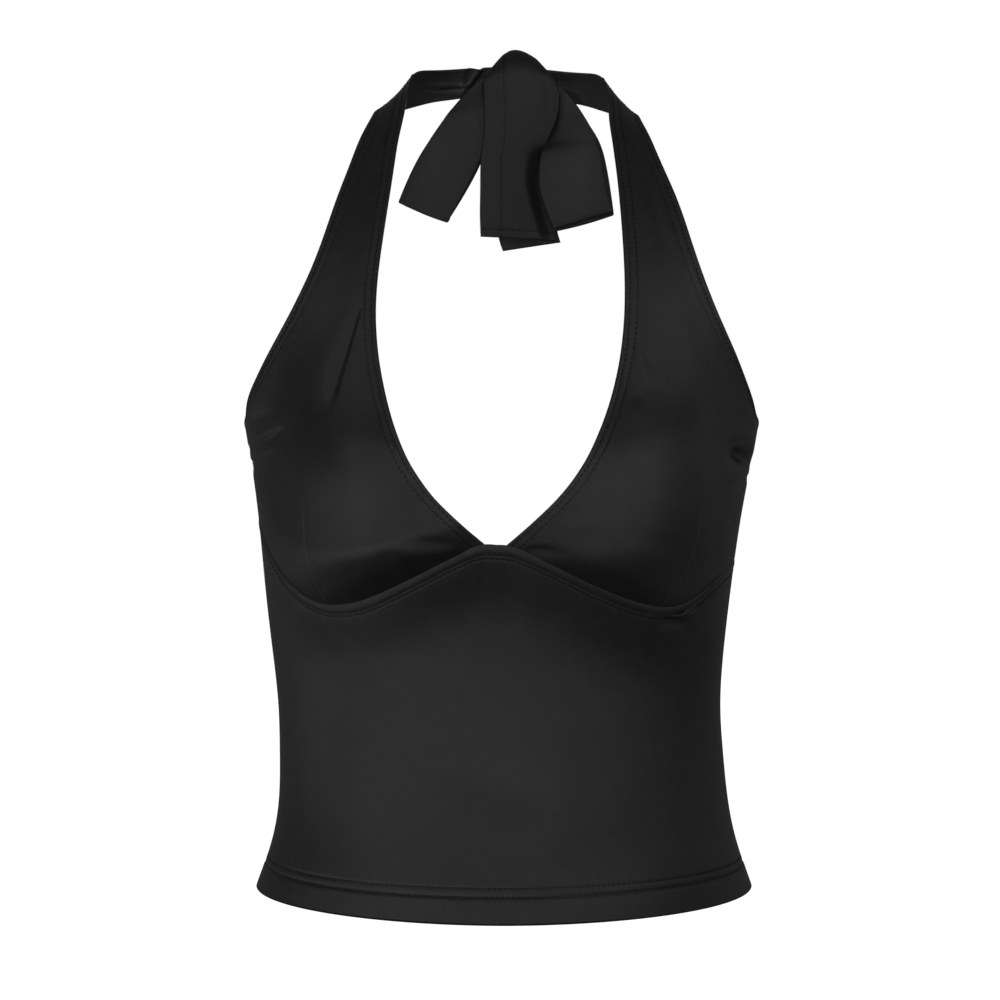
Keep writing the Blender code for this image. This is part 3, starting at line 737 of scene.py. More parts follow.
BAND_COLUMNS = 301
BAND_RISE = 0.0005
BAND_RISE_FADE = 12.0  # degrees over which it runs out before a side seam
BAND_SHARES = (0, 0.10, 0.20, 0.32, 0.44, 0.56, 0.68, 0.78, 0.86, 0.93, 1)
# Painted highlight along the band's upper edge, and painted shade over its lower half.
BAND_PAINTED_HIGHLIGHT = 0.75  # greyness of a fine line along its upper edge
BAND_PAINTED_SHADE = 0.19  # taken off below it, for its tone

angle = np.linspace(-SIDE_SEAM, SIDE_SEAM, BAND_COLUMNS)[None, :]
share = np.array(BAND_SHARES)[:, None]
width = BAND["width"](np.abs(angle)) + SEAM_GAP + 2 * SEAM_LAP
flat = body_form(angle, underbust(angle) + SEAM_LAP - width * (1 - share))
fade = ease((SIDE_SEAM - np.abs(angle)) / BAND_RISE_FADE)
rise = BAND_RISE * 4 * share * (1 - share) * fade
points = in_place(flat + normals(flat) * rise[..., None])
# Painted highlight along the upper edge, less painted shade over the lower half.
greyness_and_painted_light = BAND_PAINTED_HIGHLIGHT * near(share, 0.93, 0.06) - BAND_PAINTED_SHADE * near(share, 0.30, 0.40)
cloth = add_cloth("underbust_band", points, greyness_and_painted_light + 0 * angle, SEWN_EDGE)


# The cups: each is cut in one with its strap, and shaped by a dart that runs up from the seam
# under it. The neckline and the armhole are turned in. The dart's two sides meet in a fine
# raised line, and the cloth draws into small gathers where the neckline ends at the band.

CUP_ROWS = 112
NOTCH = 3.6  # angle from the centre front where the neckline meets the underbust seam
ARMPIT_ROWS = 20  # closer rows where the armhole turns up from the side seam
ARMPIT_TURN = 0.010  # height that the turn takes
STRAP_ROWS = 90
CREST_ROWS = 44
CREST_LEAD = 4  # spacing of the strap rows that lead the curve over the neck
STRAP_TOP = 0.4420
DART_TOP = 0.238
DART_RIDGE, DART_RIDGE_WIDTH = 0.00028, 0.0005  # its raised line, and half its width
DART_DEPTH, DART_WIDTH = 0.00018, 0.0022  # the trough that the line stands in
DART_GREY = 1.6
DART_FOOT = 53.0  # its angle from the centre front at the seam
DART_FADE = 0.012  # height over which it runs out
DART_SHARE = 0.52  # of the cup's width, where its dart lies
CUP_LAP = 0.0006  # how far the cup's lower edge laps the band
CUP_EDGE_DEPTH = 0.0002  # how far it is pulled down there
TURNED_GREY = 0.26  # greyness of the turned neckline and armhole
CUP_MIDDLE = 0.080  # from the centre front
CUP_REACH_IN = 0.055
CUP_REACH_OUT = 0.052
CUP_ROUNDING = (0.018, 0.034)  # height over which a cup swells, at the notch and past 55 degrees
CUP_ROUNDING_OVER = 55.0
# Painted highlight: the bust is made lighter where the light falls on it.
BUST_PAINTED_HIGHLIGHT = 0.50  # given for the tone of the lit bust; the real knit may be even there
BUST_HIGHLIGHT_ACROSS = (0.070, 0.036)  # middle and half width of that part, and the same upwards
BUST_HIGHLIGHT_UP = (0.2430, 0.0230)
NECK_LEAN = 0.018  # the left side of the neck loop stands higher: a fall for each metre across
NECK_LEAN_FROM = 0.445  # height where it begins
NECK_LEAN_OVER = 0.020  # height over which it grows

# How far a cup stands in front of the figure.
CUP = table(
    "height depth",
    (0.165, 0.0285),
    (0.205, 0.0305),
    (0.225, 0.0300),
    (0.250, 0.0255),
    (0.275, 0.0165),
    (0.300, 0.0085),
    (0.330, 0.0022),
    (0.360, 0.0000),
    (0.480, 0.0000),
)
DART = table(
    "height right left",
    (0.173, 0.0920, 0.0945),
    (0.190, 0.1025, 0.1030),
    (0.205, 0.1082, 0.1075),
    (0.218, 0.1104, 0.1092),
    (0.238, 0.1100, 0.1088),
)
NECKLINE = table(
    "height x",
    (0.2122, 0.0064),
    (0.2251, 0.0204),
    (0.2363, 0.0321),
    (0.2475, 0.0415),
    (0.2586, 0.0490),
    (0.2697, 0.0543),
    (0.2920, 0.0620),
    (0.3143, 0.0672),
    (0.3481, 0.0701),
    (0.3804, 0.0685),
    (0.4181, 0.0650),
    (0.4374, 0.0629),
    (0.4530, 0.0609),
)
ARMHOLE = table(
    "height x",
    (0.2740, 0.1518),
    (0.2797, 0.1498),
    (0.2915, 0.1458),
    (0.3032, 0.1406),
    (0.3147, 0.1352),
    (0.3373, 0.1239),
    (0.3599, 0.1140),
    (0.3808, 0.1066),
    (0.4091, 0.0977),
    (0.4282, 0.0907),
    (0.4379, 0.0872),
    (0.4530, 0.0816),
)

# Both edges of the strap over the side of the neck, the one nearer the neck first, and the
# rise of the middle between them.
CREST = (
    (0.0604, -0.0180, 0.4560, 0.0803, -0.0150, 0.4550, 0.0010),
    (0.0597, -0.0060, 0.4668, 0.0782, -0.0040, 0.4606, 0.0012),
    (0.0594, 0.0040, 0.4748, 0.0768, 0.0060, 0.4624, 0.0010),
    (0.0587, 0.0140, 0.4806, 0.0748, 0.0165, 0.4636, 0.0008),
    (0.0573, 0.0250, 0.4866, 0.0727, 0.0285, 0.4645, 0.0006),
)

CUP_FOLDS = {
    "left": (
        (0.0170, 0.0260, (-0.122, 0.2620, 0.0), (-0.098, 0.2620, 0.0030),
         (-0.072, 0.2640, 0.0034), (-0.048, 0.2600, 0.0016), (-0.030, 0.2560, 0.0)),
        (0.0100, 0.0080, (-0.1400, 0.2780, 0.0), (-0.1425, 0.2900, 0.0022),
         (-0.1370, 0.3060, 0.0022), (-0.1235, 0.3370, 0.0014), (-0.1050, 0.3850, 0.0)),
        (0.0130, 0.0090, (-0.086, 0.1940, 0.0), (-0.068, 0.1985, 0.0014),
         (-0.048, 0.2045, 0.0024), (-0.030, 0.2105, 0.0016), (-0.014, 0.2150, 0.0)),
        (0.0046, 0.0080, (-0.0840, 0.3520, 0.0), (-0.0945, 0.3240, 0.0009),
         (-0.1010, 0.3060, 0.0008), (-0.1080, 0.2830, 0.0)),
        (0.0015, 0.0036, (-0.0770, 0.3560, 0.0), (-0.0860, 0.3260, -0.0017),
         (-0.0922, 0.3040, -0.0015), (-0.0985, 0.2790, 0.0)),
        (0.0054, 0.0020, (-0.120, 0.2775, 0.0), (-0.132, 0.2712, -0.0017),
         (-0.143, 0.2655, -0.0017), (-0.1555, 0.2600, 0.0)),
        (0.0054, 0.0020, (-0.124, 0.2650, 0.0), (-0.135, 0.2600, -0.0015),
         (-0.145, 0.2555, -0.0018), (-0.1555, 0.2505, 0.0)),
        (0.0020, 0.0025, (-0.052, 0.2160, 0.0), (-0.037, 0.2142, -0.0008),
         (-0.023, 0.2128, 0.0)),
        (0.0028, 0.0028, (-0.066, 0.2100, 0.0), (-0.042, 0.2096, 0.0020),
         (-0.018, 0.2105, 0.0)),
        (0.0020, 0.0045, (-0.060, 0.2030, 0.0), (-0.043, 0.2038, -0.0010),
         (-0.027, 0.2055, 0.0)),
    ),
    "right": (
        (0.0170, 0.0260, (0.122, 0.2620, 0.0), (0.096, 0.2640, 0.0024),
         (0.068, 0.2640, 0.0030), (0.048, 0.2600, 0.0018), (0.030, 0.2560, 0.0)),
        (0.0150, 0.0360, (0.096, 0.3060, 0.0), (0.105, 0.2600, 0.0036),
         (0.106, 0.2280, 0.0040), (0.098, 0.1920, 0.0)),
        (0.0130, 0.0090, (0.084, 0.1940, 0.0), (0.066, 0.1985, 0.0014),
         (0.046, 0.2045, 0.0020), (0.028, 0.2110, 0.0014), (0.014, 0.2150, 0.0)),
        (0.0022, 0.0030, (0.129, 0.2400, 0.0), (0.137, 0.2430, -0.0010),
         (0.144, 0.2460, -0.0012)),
        (0.0018, 0.0022, (0.127, 0.2210, 0.0), (0.132, 0.2232, -0.0010),
         (0.139, 0.2262, 0.0)),
        (0.0022, 0.0030, (0.008, 0.2095, 0.0), (0.024, 0.2088, -0.0010),
         (0.042, 0.2092, 0.0)),
        (0.0026, 0.0022, (0.008, 0.2117, 0.0), (0.022, 0.2142, 0.0008),
         (0.036, 0.2180, 0.0)),
        (0.0030, 0.0040, (0.026, 0.2200, 0.0), (0.044, 0.2228, -0.0006),
         (0.062, 0.2262, 0.0)),
        (0.0030, 0.0030, (0.074, 0.3290, 0.0), (0.079, 0.3110, 0.0006),
         (0.084, 0.2970, 0.0)),
        (0.0030, 0.0030, (0.073, 0.2930, 0.0), (0.075, 0.2850, 0.0005),
         (0.078, 0.2740, 0.0)),
        (0.0024, 0.0034, (0.071, 0.4640, 0.0), (0.075, 0.4520, 0.0008),
         (0.080, 0.4360, 0.0)),
    ),
}


def angle_at(x, height):
    """The angle from the centre front at which the figure is x to the side, from the oval's
    own equation."""
    power = FORM["roundness"](height)
    inside = 1 - (x / FORM["half_breadth"](height)) ** power
    forward = FORM["front"](height) * inside ** (1 / power)
    return np.degrees(np.arctan2(x, forward))


def cup_form(angle, height, side):
    """The figure with a cup pushed forward out of it, from nothing at the underbust seam."""
    above_seam = height - UNDERBUST[side](angle)
    point = held_forward(angle, height, above_seam)
    offset = point[..., 0] - CUP_MIDDLE
    reach = np.where(offset < 0, CUP_REACH_IN, CUP_REACH_OUT)
    across = np.exp(-((offset / reach) ** 2)) * ease(np.cos(np.radians(angle)) / SIDE_FADE)
    low, high = CUP_ROUNDING
    rounding = low + (high - low) * ease(angle / CUP_ROUNDING_OVER)
    swell = np.sin(np.clip(above_seam / rounding, 0, 1) * math.pi / 2)
    point[..., 1] -= CUP["depth"](height) * across * swell
    return point


def strip(sections, places, share):
    """A strip of cloth through table rows of both edges and the crown between them, read at
    the given places along the table and shares of the way across."""
    rows = spline(np.arange(len(sections)), sections)(places)[:, None, :]
    share = share[None, :, None]
    flat = rows[..., 0:3] * (1 - share) + rows[..., 3:6] * share
    return flat + normals(flat) * rows[..., 6:7] * 4 * share * (1 - share)


def neck_strip(sections, places, share, side):
    """A strip of the neck loop, higher on the left and lower on the right."""
    points = strip(sections, places, share)
    fall = NECK_LEAN * points[..., 0] * (1 if side == "right" else -1)
    points[..., 2] -= fall * ease((points[..., 2] - NECK_LEAN_FROM) / NECK_LEAN_OVER)
    return points


def cup_columns():
    """Shares of a cup's width, close together along the neckline, the dart and the side."""
    return stretches(
        0, (0.10, 17), (0.30, 18), (0.49, 15), (0.55, 15), (0.86, 24), (1.0, 20)
    )


def dart_bend(height, inner, outer, side):
    """How far the columns of a cup are bent aside to follow its dart, row by row."""
    height = np.minimum(height, DART_TOP)
    dart = (angle_at(DART[side](height), height) - inner) / (outer - inner)
    return (dart - DART_SHARE) / (DART_SHARE * (1 - DART_SHARE))


def cup_rows(side):
    """Angles and heights of a cup, in rows from the underbust seam to a level row at the
    armpit. The columns bend to follow the dart."""
    column = cup_columns()[None, :]
    up = np.linspace(0, 1, CUP_ROWS)[:, None]
    seam = UNDERBUST[side]
    outer = SIDE_SEAM
    neckline = seam(NOTCH) * (1 - up) + ARMPIT * up
    inner = angle_at(NECKLINE["x"](neckline), neckline)
    seam_bend = dart_bend(seam(DART_FOOT), inner[0], outer, side)
    seam_angle = inner[0] + (outer - inner[0]) * (column + seam_bend * column * (1 - column))
    height = (seam(seam_angle) - CUP_LAP) * (1 - up) + ARMPIT * up
    lowest = height.min(axis=1)[:, None]
    share = column + dart_bend(lowest, inner, outer, side) * column * (1 - column)
    return inner + (outer - inner) * share, height, share[-1]


def cup_grid(side):
    """A cup: rows from the underbust seam to the armpit, then level rows up the strap, then
    sections over the side of the neck."""
    angle, height, share = cup_rows(side)
    below = cup_form(angle, height, side)
    turn = (ARMPIT + ARMPIT_TURN, ARMPIT_ROWS)
    height = stretches(ARMPIT, turn, (STRAP_TOP, STRAP_ROWS))[1:, None]
    inner = angle_at(NECKLINE["x"](height), height)
    outer = angle_at(ARMHOLE["x"](height), height)
    corner = SIDE_SEAM - angle_at(ARMHOLE["x"](ARMPIT), ARMPIT)
    corner = corner * (1 - ease((height - ARMPIT) / ARMPIT_TURN))
    above = cup_form(inner + (outer + corner - inner) * share, height, side)
    crest = neck_strip(CREST, np.arange(len(CREST)), share, side)
    lead = above[:: -CREST_LEAD][:3][::-1]
    travelled = lengths(np.concatenate([lead, crest]), 0).mean(axis=1)
    places = np.linspace(travelled[2], travelled[-1], CREST_ROWS + 1)[1:]
    over_neck = spline(travelled, np.concatenate([lead, crest]))(places)
    return np.concatenate([below, above, over_neck])


def cup_relief(grid, side):
    """Seams and finished edges of a cup, as heights and greyness over its grid: the neckline,
    the armhole above the armpit, the dart's raised line between two grooves, and the rolled
    edge at the band. The greyness also holds a highlight painted over the bust."""
    height = grid[..., 2]
    across = lengths(grid, 1)
    from_neckline, from_armhole = across, across[:, [-1]] - across
    off_dart = across - across[:, [np.argmin(np.abs(cup_columns() - DART_SHARE))]]
    above_seam = lengths(grid, 0)
    armhole = ease((height[:, [-1]] - ARMPIT + 0.002) / 0.008)
    dart = ease((DART_TOP - height) / DART_FADE)
    relief = finished_edge(from_neckline) + finished_edge(from_armhole) * armhole
    ridge = DART_RIDGE * near(off_dart, 0, DART_RIDGE_WIDTH)
    relief += dart * (ridge - DART_DEPTH * near(off_dart, 0, DART_WIDTH))
    relief -= CUP_EDGE_DEPTH * near(above_seam, 0, 0.0012)
    # Painted highlight: a lighter patch over the bust, where the light falls on it.
    bust_highlight = near(grid[..., 0], *BUST_HIGHLIGHT_ACROSS) * near(height, *BUST_HIGHLIGHT_UP)
    greyness_and_painted_light = BUST_PAINTED_HIGHLIGHT * bust_highlight + DART_GREY * dart * near(off_dart, 0, DART_RIDGE_WIDTH)
    greyness_and_painted_light += TURNED_GREY * ease((EDGE_ROWS[1] - from_neckline) / 0.004)
    greyness_and_painted_light += TURNED_GREY * ease((EDGE_ROWS[1] - from_armhole) / 0.004) * armhole
    reach = np.full(height.shape, CLOTH / 2)
    reach[0] = reach[-1] = SEWN_EDGE
    reach[:, -1] = np.where(height[:, -1] > ARMPIT, CLOTH / 2, SEWN_EDGE)
    return relief, greyness_and_painted_light, reach, from_neckline, from_armhole


for side in ("right", "left"):
    grid = cup_grid(side)
    relief, greyness_and_painted_light, reach, from_neckline, from_armhole = cup_relief(grid, side)
    if side == "left":
        grid = grid[:, ::-1] * (-1, 1, 1)
        relief, greyness_and_painted_light, reach = relief[:, ::-1], greyness_and_painted_light[:, ::-1], reach[:, ::-1]
        from_neckline, from_armhole = -from_neckline[:, ::-1], -from_armhole[:, ::-1]
    points = in_place(grid)
    if side == "right":
        points = tucked(points)
    points = folded(points + normals(points) * relief[..., None], CUP_FOLDS[side])
    cloth = add_cloth(f"cup_{side}", points, greyness_and_painted_light, reach)
    sign = 1 if side == "right" else -1
    rows = [line_at(points, from_neckline, sign * place) for place in EDGE_ROWS]
    above_armpit = np.flatnonzero(points[:, -1 if side == "right" else 0, 2] > ARMPIT - HOLD_HEIGHT)
    rows += [
        line_at(points[above_armpit], -from_armhole[above_armpit], -sign * place)
        for place in EDGE_ROWS[:1]
    ]
    stitching = add_stitches(f"stitches_cup_{side}", rows)


# The ties: each strap narrows into a tie behind the neck, and both run into the knot. The
# doubled cloth is drawn into long folds before it enters.

TIE_COLUMNS = 33
TIE_RINGS = 110
TIE = (
    (0.0573, 0.0250, 0.4866, 0.0727, 0.0285, 0.4645, 0.0006),
    (0.0537, 0.0370, 0.4902, 0.0664, 0.0420, 0.4664, 0.0008),
    (0.0472, 0.0485, 0.4922, 0.0580, 0.0535, 0.4698, 0.0012),
    (0.0380, 0.0580, 0.4938, 0.0470, 0.0620, 0.4736, 0.0012),
    (0.0270, 0.0645, 0.4954, 0.0335, 0.0672, 0.4762, 0.0010),
    (0.0140, 0.0682, 0.4968, 0.0180, 0.0695, 0.4785, 0.0010),
    (0.0000, 0.0695, 0.4973, 0.0000, 0.0705, 0.4800, 0.0010),
)
# Painted light: the ties are made lighter to look as lit as they are, the right one more.
TIE_PAINTED_LIGHT = {"right": 1.90, "left": 1.00}  # given for their tone; the real ties may be even
TIE_END = {"right": 4.80, "left": 5.60}  # sections from the join where it enters the knot
TIE_FOLDS = {
    "left": (
        (0.0014, 0.0020, (-0.062, 0.4830, 0.0), (-0.040, 0.4845, -0.0011),
         (-0.012, 0.4880, -0.0012)),
        (0.0016, 0.0014, (-0.060, 0.4815, 0.0), (-0.040, 0.4828, 0.0006),
         (-0.014, 0.4858, 0.0006)),
        (0.0014, 0.0022, (-0.062, 0.4795, 0.0), (-0.040, 0.4807, -0.0009),
         (-0.014, 0.4832, -0.0012)),
        (0.0018, 0.0026, (-0.0140, 0.4990, -0.0040), (-0.0172, 0.4930, -0.0040),
         (-0.0228, 0.4850, -0.0022), (-0.0280, 0.4790, 0.0)),
        (0.0014, 0.0014, (-0.0195, 0.4975, 0.0006), (-0.0220, 0.4920, 0.0012),
         (-0.0270, 0.4850, 0.0)),
    ),
    "right": (
        (0.0016, 0.0026, (0.024, 0.4850, -0.0010), (0.036, 0.4830, -0.0010),
         (0.054, 0.4800, 0.0)),
        (0.0016, 0.0016, (0.030, 0.4885, 0.0), (0.040, 0.4880, 0.0005),
         (0.056, 0.4870, 0.0)),
    ),
}

for side in ("right", "left"):
    places = np.linspace(0, TIE_END[side], TIE_RINGS)
    grid = neck_strip(TIE, places, np.linspace(0, 1, TIE_COLUMNS), side)
    if side == "left":
        grid = grid[:, ::-1] * (-1, 1, 1)
    points = folded(in_place(grid), TIE_FOLDS[side])
    # The ties' greyness is painted light.
    cloth = add_cloth(f"tie_{side}", points, np.full(points.shape[:2], TIE_PAINTED_LIGHT[side]))


# The knot: both ties wrapped round each other into a firm bundle, whose turns show as ridges
# across it and whose cloth is drawn into fine creases.

KNOT_MIDDLE = (0.0052, 0.0626, 0.4852)
KNOT_HALF = (0.0155, 0.0096, 0.0168)
KNOT_FULLNESS = 2.2  # 2 is an ellipse, more is squarer
KNOT_WRAPS = 3
KNOT_GROOVE = 0.06  # of the radius
KNOT_END = 0.96  # how far out its end rings lie
KNOT_CREASE = 0.014  # of the radius
KNOT_RINGS, KNOT_SIDES = 71, 96

reach = np.linspace(-KNOT_END, KNOT_END, KNOT_RINGS)[:, None]
along = np.sin(reach * math.pi / 2)
turn = np.linspace(0, 2 * math.pi, KNOT_SIDES, endpoint=False)[None, :]
radius = (1 - np.abs(along) ** KNOT_FULLNESS) ** (1 / KNOT_FULLNESS)
radius = radius - KNOT_GROOVE * (0.5 - 0.5 * np.cos(2 * math.pi * KNOT_WRAPS * along))
creases = np.sin(17 * along + 2.2 * np.sin(turn + 0.6) + np.sin(3 * turn))
radius = radius * (1 + KNOT_CREASE * creases)
knot = np.stack(
    [along + 0 * turn, -radius * np.cos(turn), radius * np.sin(turn)], axis=-1
)
knot = in_place((knot * KNOT_HALF + KNOT_MIDDLE), KNOT_MIDDLE[2])
index = np.arange(KNOT_RINGS * KNOT_SIDES).reshape(KNOT_RINGS, KNOT_SIDES)
after = np.roll(index, -1, axis=1)
quads = np.stack([index[:-1], index[1:], after[1:], after[:-1]], axis=-1)
faces = quads.reshape(-1, 4).tolist() + [index[0].tolist(), index[-1, ::-1].tolist()]
knot_map = np.stack([turn * KNOT_HALF[2] + 0 * along, along * KNOT_HALF[0] + 0 * turn], axis=-1)
plain = np.zeros(knot_map[..., 0].size)
knot = add_object("cloth_knot", knot.reshape(-1, 3), faces, knot_map.reshape(-1, 2), plain, JERSEY)
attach(knot, "root")
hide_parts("knot")


# The bow: two loops and two ends of the ties, which hang from the knot. The end in front is
# brought over the top of the knot and covers it. It is hemmed, and a seam runs down it.

TAIL_FRONT = (
    (-0.0167, 0.0505, 0.3912, 0.0306, 0.0535, 0.3890, 0.0010),
    (-0.0172, 0.0500, 0.4060, 0.0285, 0.0535, 0.4060, 0.0015),
    (-0.0170, 0.0498, 0.4220, 0.0236, 0.0530, 0.4220, 0.0018),
    (-0.0167, 0.0497, 0.4380, 0.0212, 0.0522, 0.4380, 0.0022),
    (-0.0149, 0.0498, 0.4520, 0.0256, 0.0498, 0.4520, 0.0028),
    (-0.0146, 0.0503, 0.4680, 0.0317, 0.0497, 0.4690, 0.0035),
    (-0.0152, 0.0518, 0.4840, 0.0304, 0.0518, 0.4850, 0.0043),
    (-0.0140, 0.0548, 0.4912, 0.0230, 0.0548, 0.4952, 0.0062),
    (-0.0090, 0.0612, 0.4948, 0.0172, 0.0612, 0.5016, 0.0084),
    (-0.0045, 0.0690, 0.4943, 0.0142, 0.0690, 0.5006, 0.0065),
)
TAIL_BACK = (
    (-0.0030, 0.0600, 0.3828, 0.0329, 0.0600, 0.3882, 0.0005),
    (-0.0062, 0.0600, 0.3930, 0.0302, 0.0600, 0.3985, 0.0010),
    (-0.0100, 0.0602, 0.4150, 0.0272, 0.0602, 0.4170, 0.0015),
    (-0.0095, 0.0605, 0.4400, 0.0227, 0.0605, 0.4400, 0.0020),
    (-0.0058, 0.0610, 0.4560, 0.0172, 0.0610, 0.4560, 0.0018),
    (-0.0013, 0.0620, 0.4680, 0.0117, 0.0620, 0.4680, 0.0006),
)
LOOP_LEFT = (
    (-0.0178, 0.0625, 0.4885, -0.0091, 0.0625, 0.4785, 0.0005),
    (-0.0357, 0.0590, 0.4690, -0.0123, 0.0590, 0.4620, 0.0015),
    (-0.0558, 0.0575, 0.4385, -0.0163, 0.0575, 0.4370, 0.0015),
    (-0.0667, 0.0560, 0.4145, -0.0354, 0.0560, 0.4030, 0.0010),
    (-0.0669, 0.0543, 0.4134, -0.0356, 0.0543, 0.4018, 0.0006),
    (-0.0667, 0.0526, 0.4145, -0.0354, 0.0526, 0.4030, 0.0010),
    (-0.0558, 0.0530, 0.4385, -0.0182, 0.0530, 0.4350, 0.0020),
    (-0.0426, 0.0535, 0.4587, -0.0128, 0.0535, 0.4540, 0.0022),
    (-0.0355, 0.0545, 0.4691, -0.0113, 0.0545, 0.4680, 0.0018),
    (-0.0178, 0.0585, 0.4885, -0.0093, 0.0585, 0.4785, 0.0005),
)
LOOP_RIGHT = (
    (0.0195, 0.0625, 0.4785, 0.0297, 0.0625, 0.4885, 0.0005),
    (0.0252, 0.0600, 0.4580, 0.0509, 0.0590, 0.4600, 0.0015),
    (0.0222, 0.0550, 0.4380, 0.0604, 0.0570, 0.4380, 0.0015),
    (0.0282, 0.0478, 0.3985, 0.0651, 0.0545, 0.4080, 0.0010),
    (0.0281, 0.0461, 0.3962, 0.0650, 0.0528, 0.4062, 0.0006),
    (0.0278, 0.0444, 0.3975, 0.0643, 0.0511, 0.4075, 0.0010),
    (0.0199, 0.0440, 0.4200, 0.0610, 0.0512, 0.4202, 0.0018),
    (0.0200, 0.0468, 0.4400, 0.0572, 0.0520, 0.4410, 0.0022),
    (0.0224, 0.0500, 0.4465, 0.0548, 0.0530, 0.4505, 0.0021),
    (0.0262, 0.0528, 0.4530, 0.0506, 0.0538, 0.4600, 0.0020),
    (0.0285, 0.0556, 0.4650, 0.0398, 0.0556, 0.4765, 0.0012),
    (0.0197, 0.0585, 0.4785, 0.0292, 0.0585, 0.4880, 0.0005),
)
TAIL_SEAM = 0.0132  # from the front end's left edge
TAIL_HEM = 0.0050  # above its lower edge
TAIL_HOLLOW = 0.0053  # how far its right part falls back under the loop
TAIL_HOLLOW_FROM = (0.0352, 0.0268)  # from its left edge, at its hem and from HOLLOW_BEND up
TAIL_HOLLOW_BEND = 0.4200
TAIL_HOLLOW_WIDTH = 0.0110
TAIL_HOLLOW_TOP = 0.4480  # height where the hollow runs out, and over how much
TAIL_HOLLOW_FADE = 0.020
TAIL_FOOT = 0.3900
TAIL_GROOVES = (0.0004, 0.0003)  # depths along its seam and along its hem
TAIL_GROOVE_WIDTH = 0.0008
TAIL_FOLDS = (
    (0.0020, 0.0024, (0.0240, 0.4930, 0.0), (0.0275, 0.4800, -0.0007), (0.0285, 0.4560, 0.0)),
    (0.0016, 0.0020, (0.0140, 0.4960, 0.0), (0.0170, 0.4860, -0.0004), (0.0180, 0.4700, 0.0)),
)

# Name, sections, rows and columns, greyness and flat size. The loops' greyness is given one by one.
# The loops' greyness is painted light: it makes them as light as they look where the light falls on
# them.
for name, sections, rows, columns, greyness_and_painted_light, flat in (
    ("tail_front", TAIL_FRONT, 150, 49, 0.00, (0.045, 0.122)),
    ("tail_back", TAIL_BACK, 90, 41, 0.00, (0.034, 0.086)),
    ("loop_left", LOOP_LEFT, 190, 37, 0.30, (0.034, 0.170)),
    ("loop_right", LOOP_RIGHT, 200, 37, 0.25, (0.037, 0.165)),
):
    places = np.linspace(0, len(sections) - 1, rows)
    points = in_place(strip(sections, places, np.linspace(0, 1, columns)), KNOT_MIDDLE[2])
    across, along = lengths(points, 1), lengths(points, 0)
    if name == "tail_front":
        relief = -TAIL_GROOVES[0] * near(across, TAIL_SEAM, TAIL_GROOVE_WIDTH)
        relief -= TAIL_GROOVES[1] * near(along, TAIL_HEM, TAIL_GROOVE_WIDTH)
        height = points[..., 2] + HOLD_HEIGHT
        start = np.interp(height, (TAIL_FOOT, TAIL_HOLLOW_BEND), TAIL_HOLLOW_FROM)
        fallen = ease((across - start) / TAIL_HOLLOW_WIDTH)
        relief -= TAIL_HOLLOW * fallen * ease((TAIL_HOLLOW_TOP - height) / TAIL_HOLLOW_FADE)
        points = folded(points + normals(points) * relief[..., None], TAIL_FOLDS)
        seam = [line_at(points, across, TAIL_SEAM), level_line(points, along, TAIL_HEM)]
        goes_with = [add_stitches("stitches_tail_front", seam), knot]
    else:
        goes_with = []
    cloth = add_cloth(name, points, np.full(points.shape[:2], greyness_and_painted_light))


# The studio: a plain white floor far below and a plain white surround. Soft lights stand in
# front and at both sides, stronger at the left than at the right, and one lights the back.

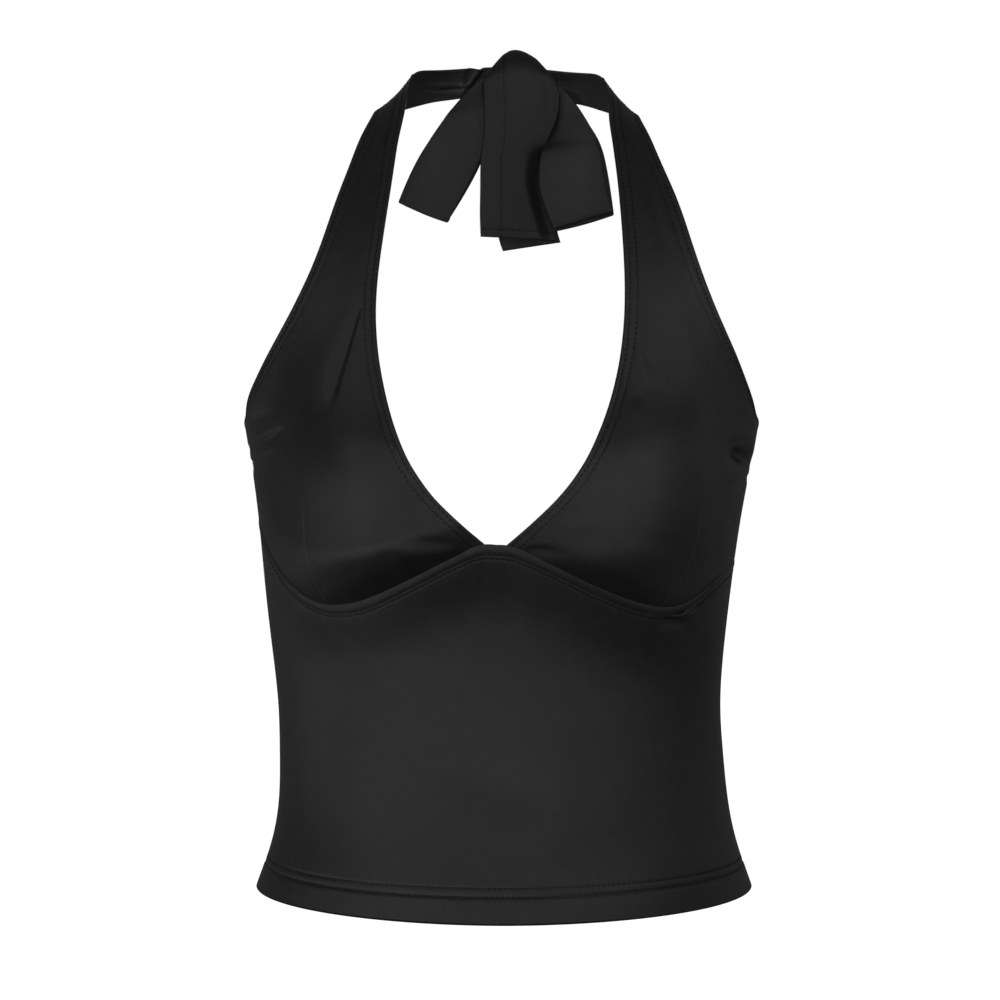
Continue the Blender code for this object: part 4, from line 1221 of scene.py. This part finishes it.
CAMERA_PLACE = (-0.0012, -1.5, -0.178)
CAMERA_DROP = 2.69  # degrees below level
CAMERA_LENS = 90.4
FLOOR_DEPTH, FLOOR_HALF = 1.30, 12
FLOOR_PAINT = (0.9, 0.9, 0.9, 1)
SURROUND = 0.093  # its light on the cloth; the camera sees it as plain white
LIGHT_AIM = (0, 0, -0.22)
LIGHTS = (  # name, place, size and power
    ("key", (0.0, -1.70, 0.84), 0.9, 5.1),
    ("front", (0.0, -2.0, -0.22), 0.9, 3.5),
    ("low_front", (0.60, -1.86, -0.64), 0.9, 0.7),
    ("left", (-1.38, -1.38, -0.64), 0.9, 5.1),
    ("left_side", (-1.81, -0.32, -1.00), 0.9, 2.6),
    ("right", (1.37, -1.37, 0.30), 0.9, 0.9),
    ("right_side", (1.90, -0.34, 0.30), 0.9, 1.8),
    ("back", (0.0, 2.1, -0.10), 1.0, 14),
)


def add_light(name, place, size, power):
    light = bpy.data.lights.new(name, "AREA")
    light.shape = "SQUARE"
    light.size = size
    light.energy = power
    made = bpy.data.objects.new(name, light)
    made.location = place
    away = np.array(place) - LIGHT_AIM
    yaw = math.atan2(away[0], -away[1])
    pitch = math.atan2(math.hypot(away[0], away[1]), away[2])
    made.rotation_euler = (pitch, 0, yaw)
    bpy.context.scene.collection.objects.link(made)


for light in LIGHTS:
    add_light(*light)

world = bpy.data.worlds.new("surround")
world.use_nodes = True
background = Shade(world.node_tree)
lit = world.node_tree.nodes["Background"]
lit.inputs["Color"].default_value = (1, 1, 1, 1)
seen = background.node("ShaderNodeLightPath", {}, {}, "Is Camera Ray")
(SURROUND + seen * (1 - SURROUND)).feed(lit.inputs["Strength"])
bpy.context.scene.world = world

floor_mesh = bpy.data.meshes.new("floor")
corners = [
    (x * FLOOR_HALF, y * FLOOR_HALF, -FLOOR_DEPTH) for x, y in ((-1, -1), (1, -1), (1, 1), (-1, 1))
]
floor_mesh.from_pydata(corners, [], [(0, 1, 2, 3)])
floor = bpy.data.objects.new("floor", floor_mesh)
bpy.context.scene.collection.objects.link(floor)
paint = bpy.data.materials.new("floor_paint")
paint.use_nodes = True
paint_inputs = paint.node_tree.nodes["Principled BSDF"].inputs
paint_inputs["Base Color"].default_value = FLOOR_PAINT
paint_inputs["Roughness"].default_value = 1.0
paint_inputs["Emission Color"].default_value = (1, 1, 1, 1)
paint_inputs["Emission Strength"].default_value = 1.0
floor_mesh.materials.append(paint)
floor.visible_diffuse = False
floor.visible_glossy = False

camera = bpy.data.objects.new("camera", bpy.data.cameras.new("camera"))
camera.location = CAMERA_PLACE
camera.rotation_euler = (math.radians(90 - CAMERA_DROP), 0, 0)
camera.data.sensor_width = 36
camera.data.lens = CAMERA_LENS
bpy.context.scene.collection.objects.link(camera)
bpy.context.scene.camera = camera
bpy.context.scene.view_settings.view_transform = "Standard"
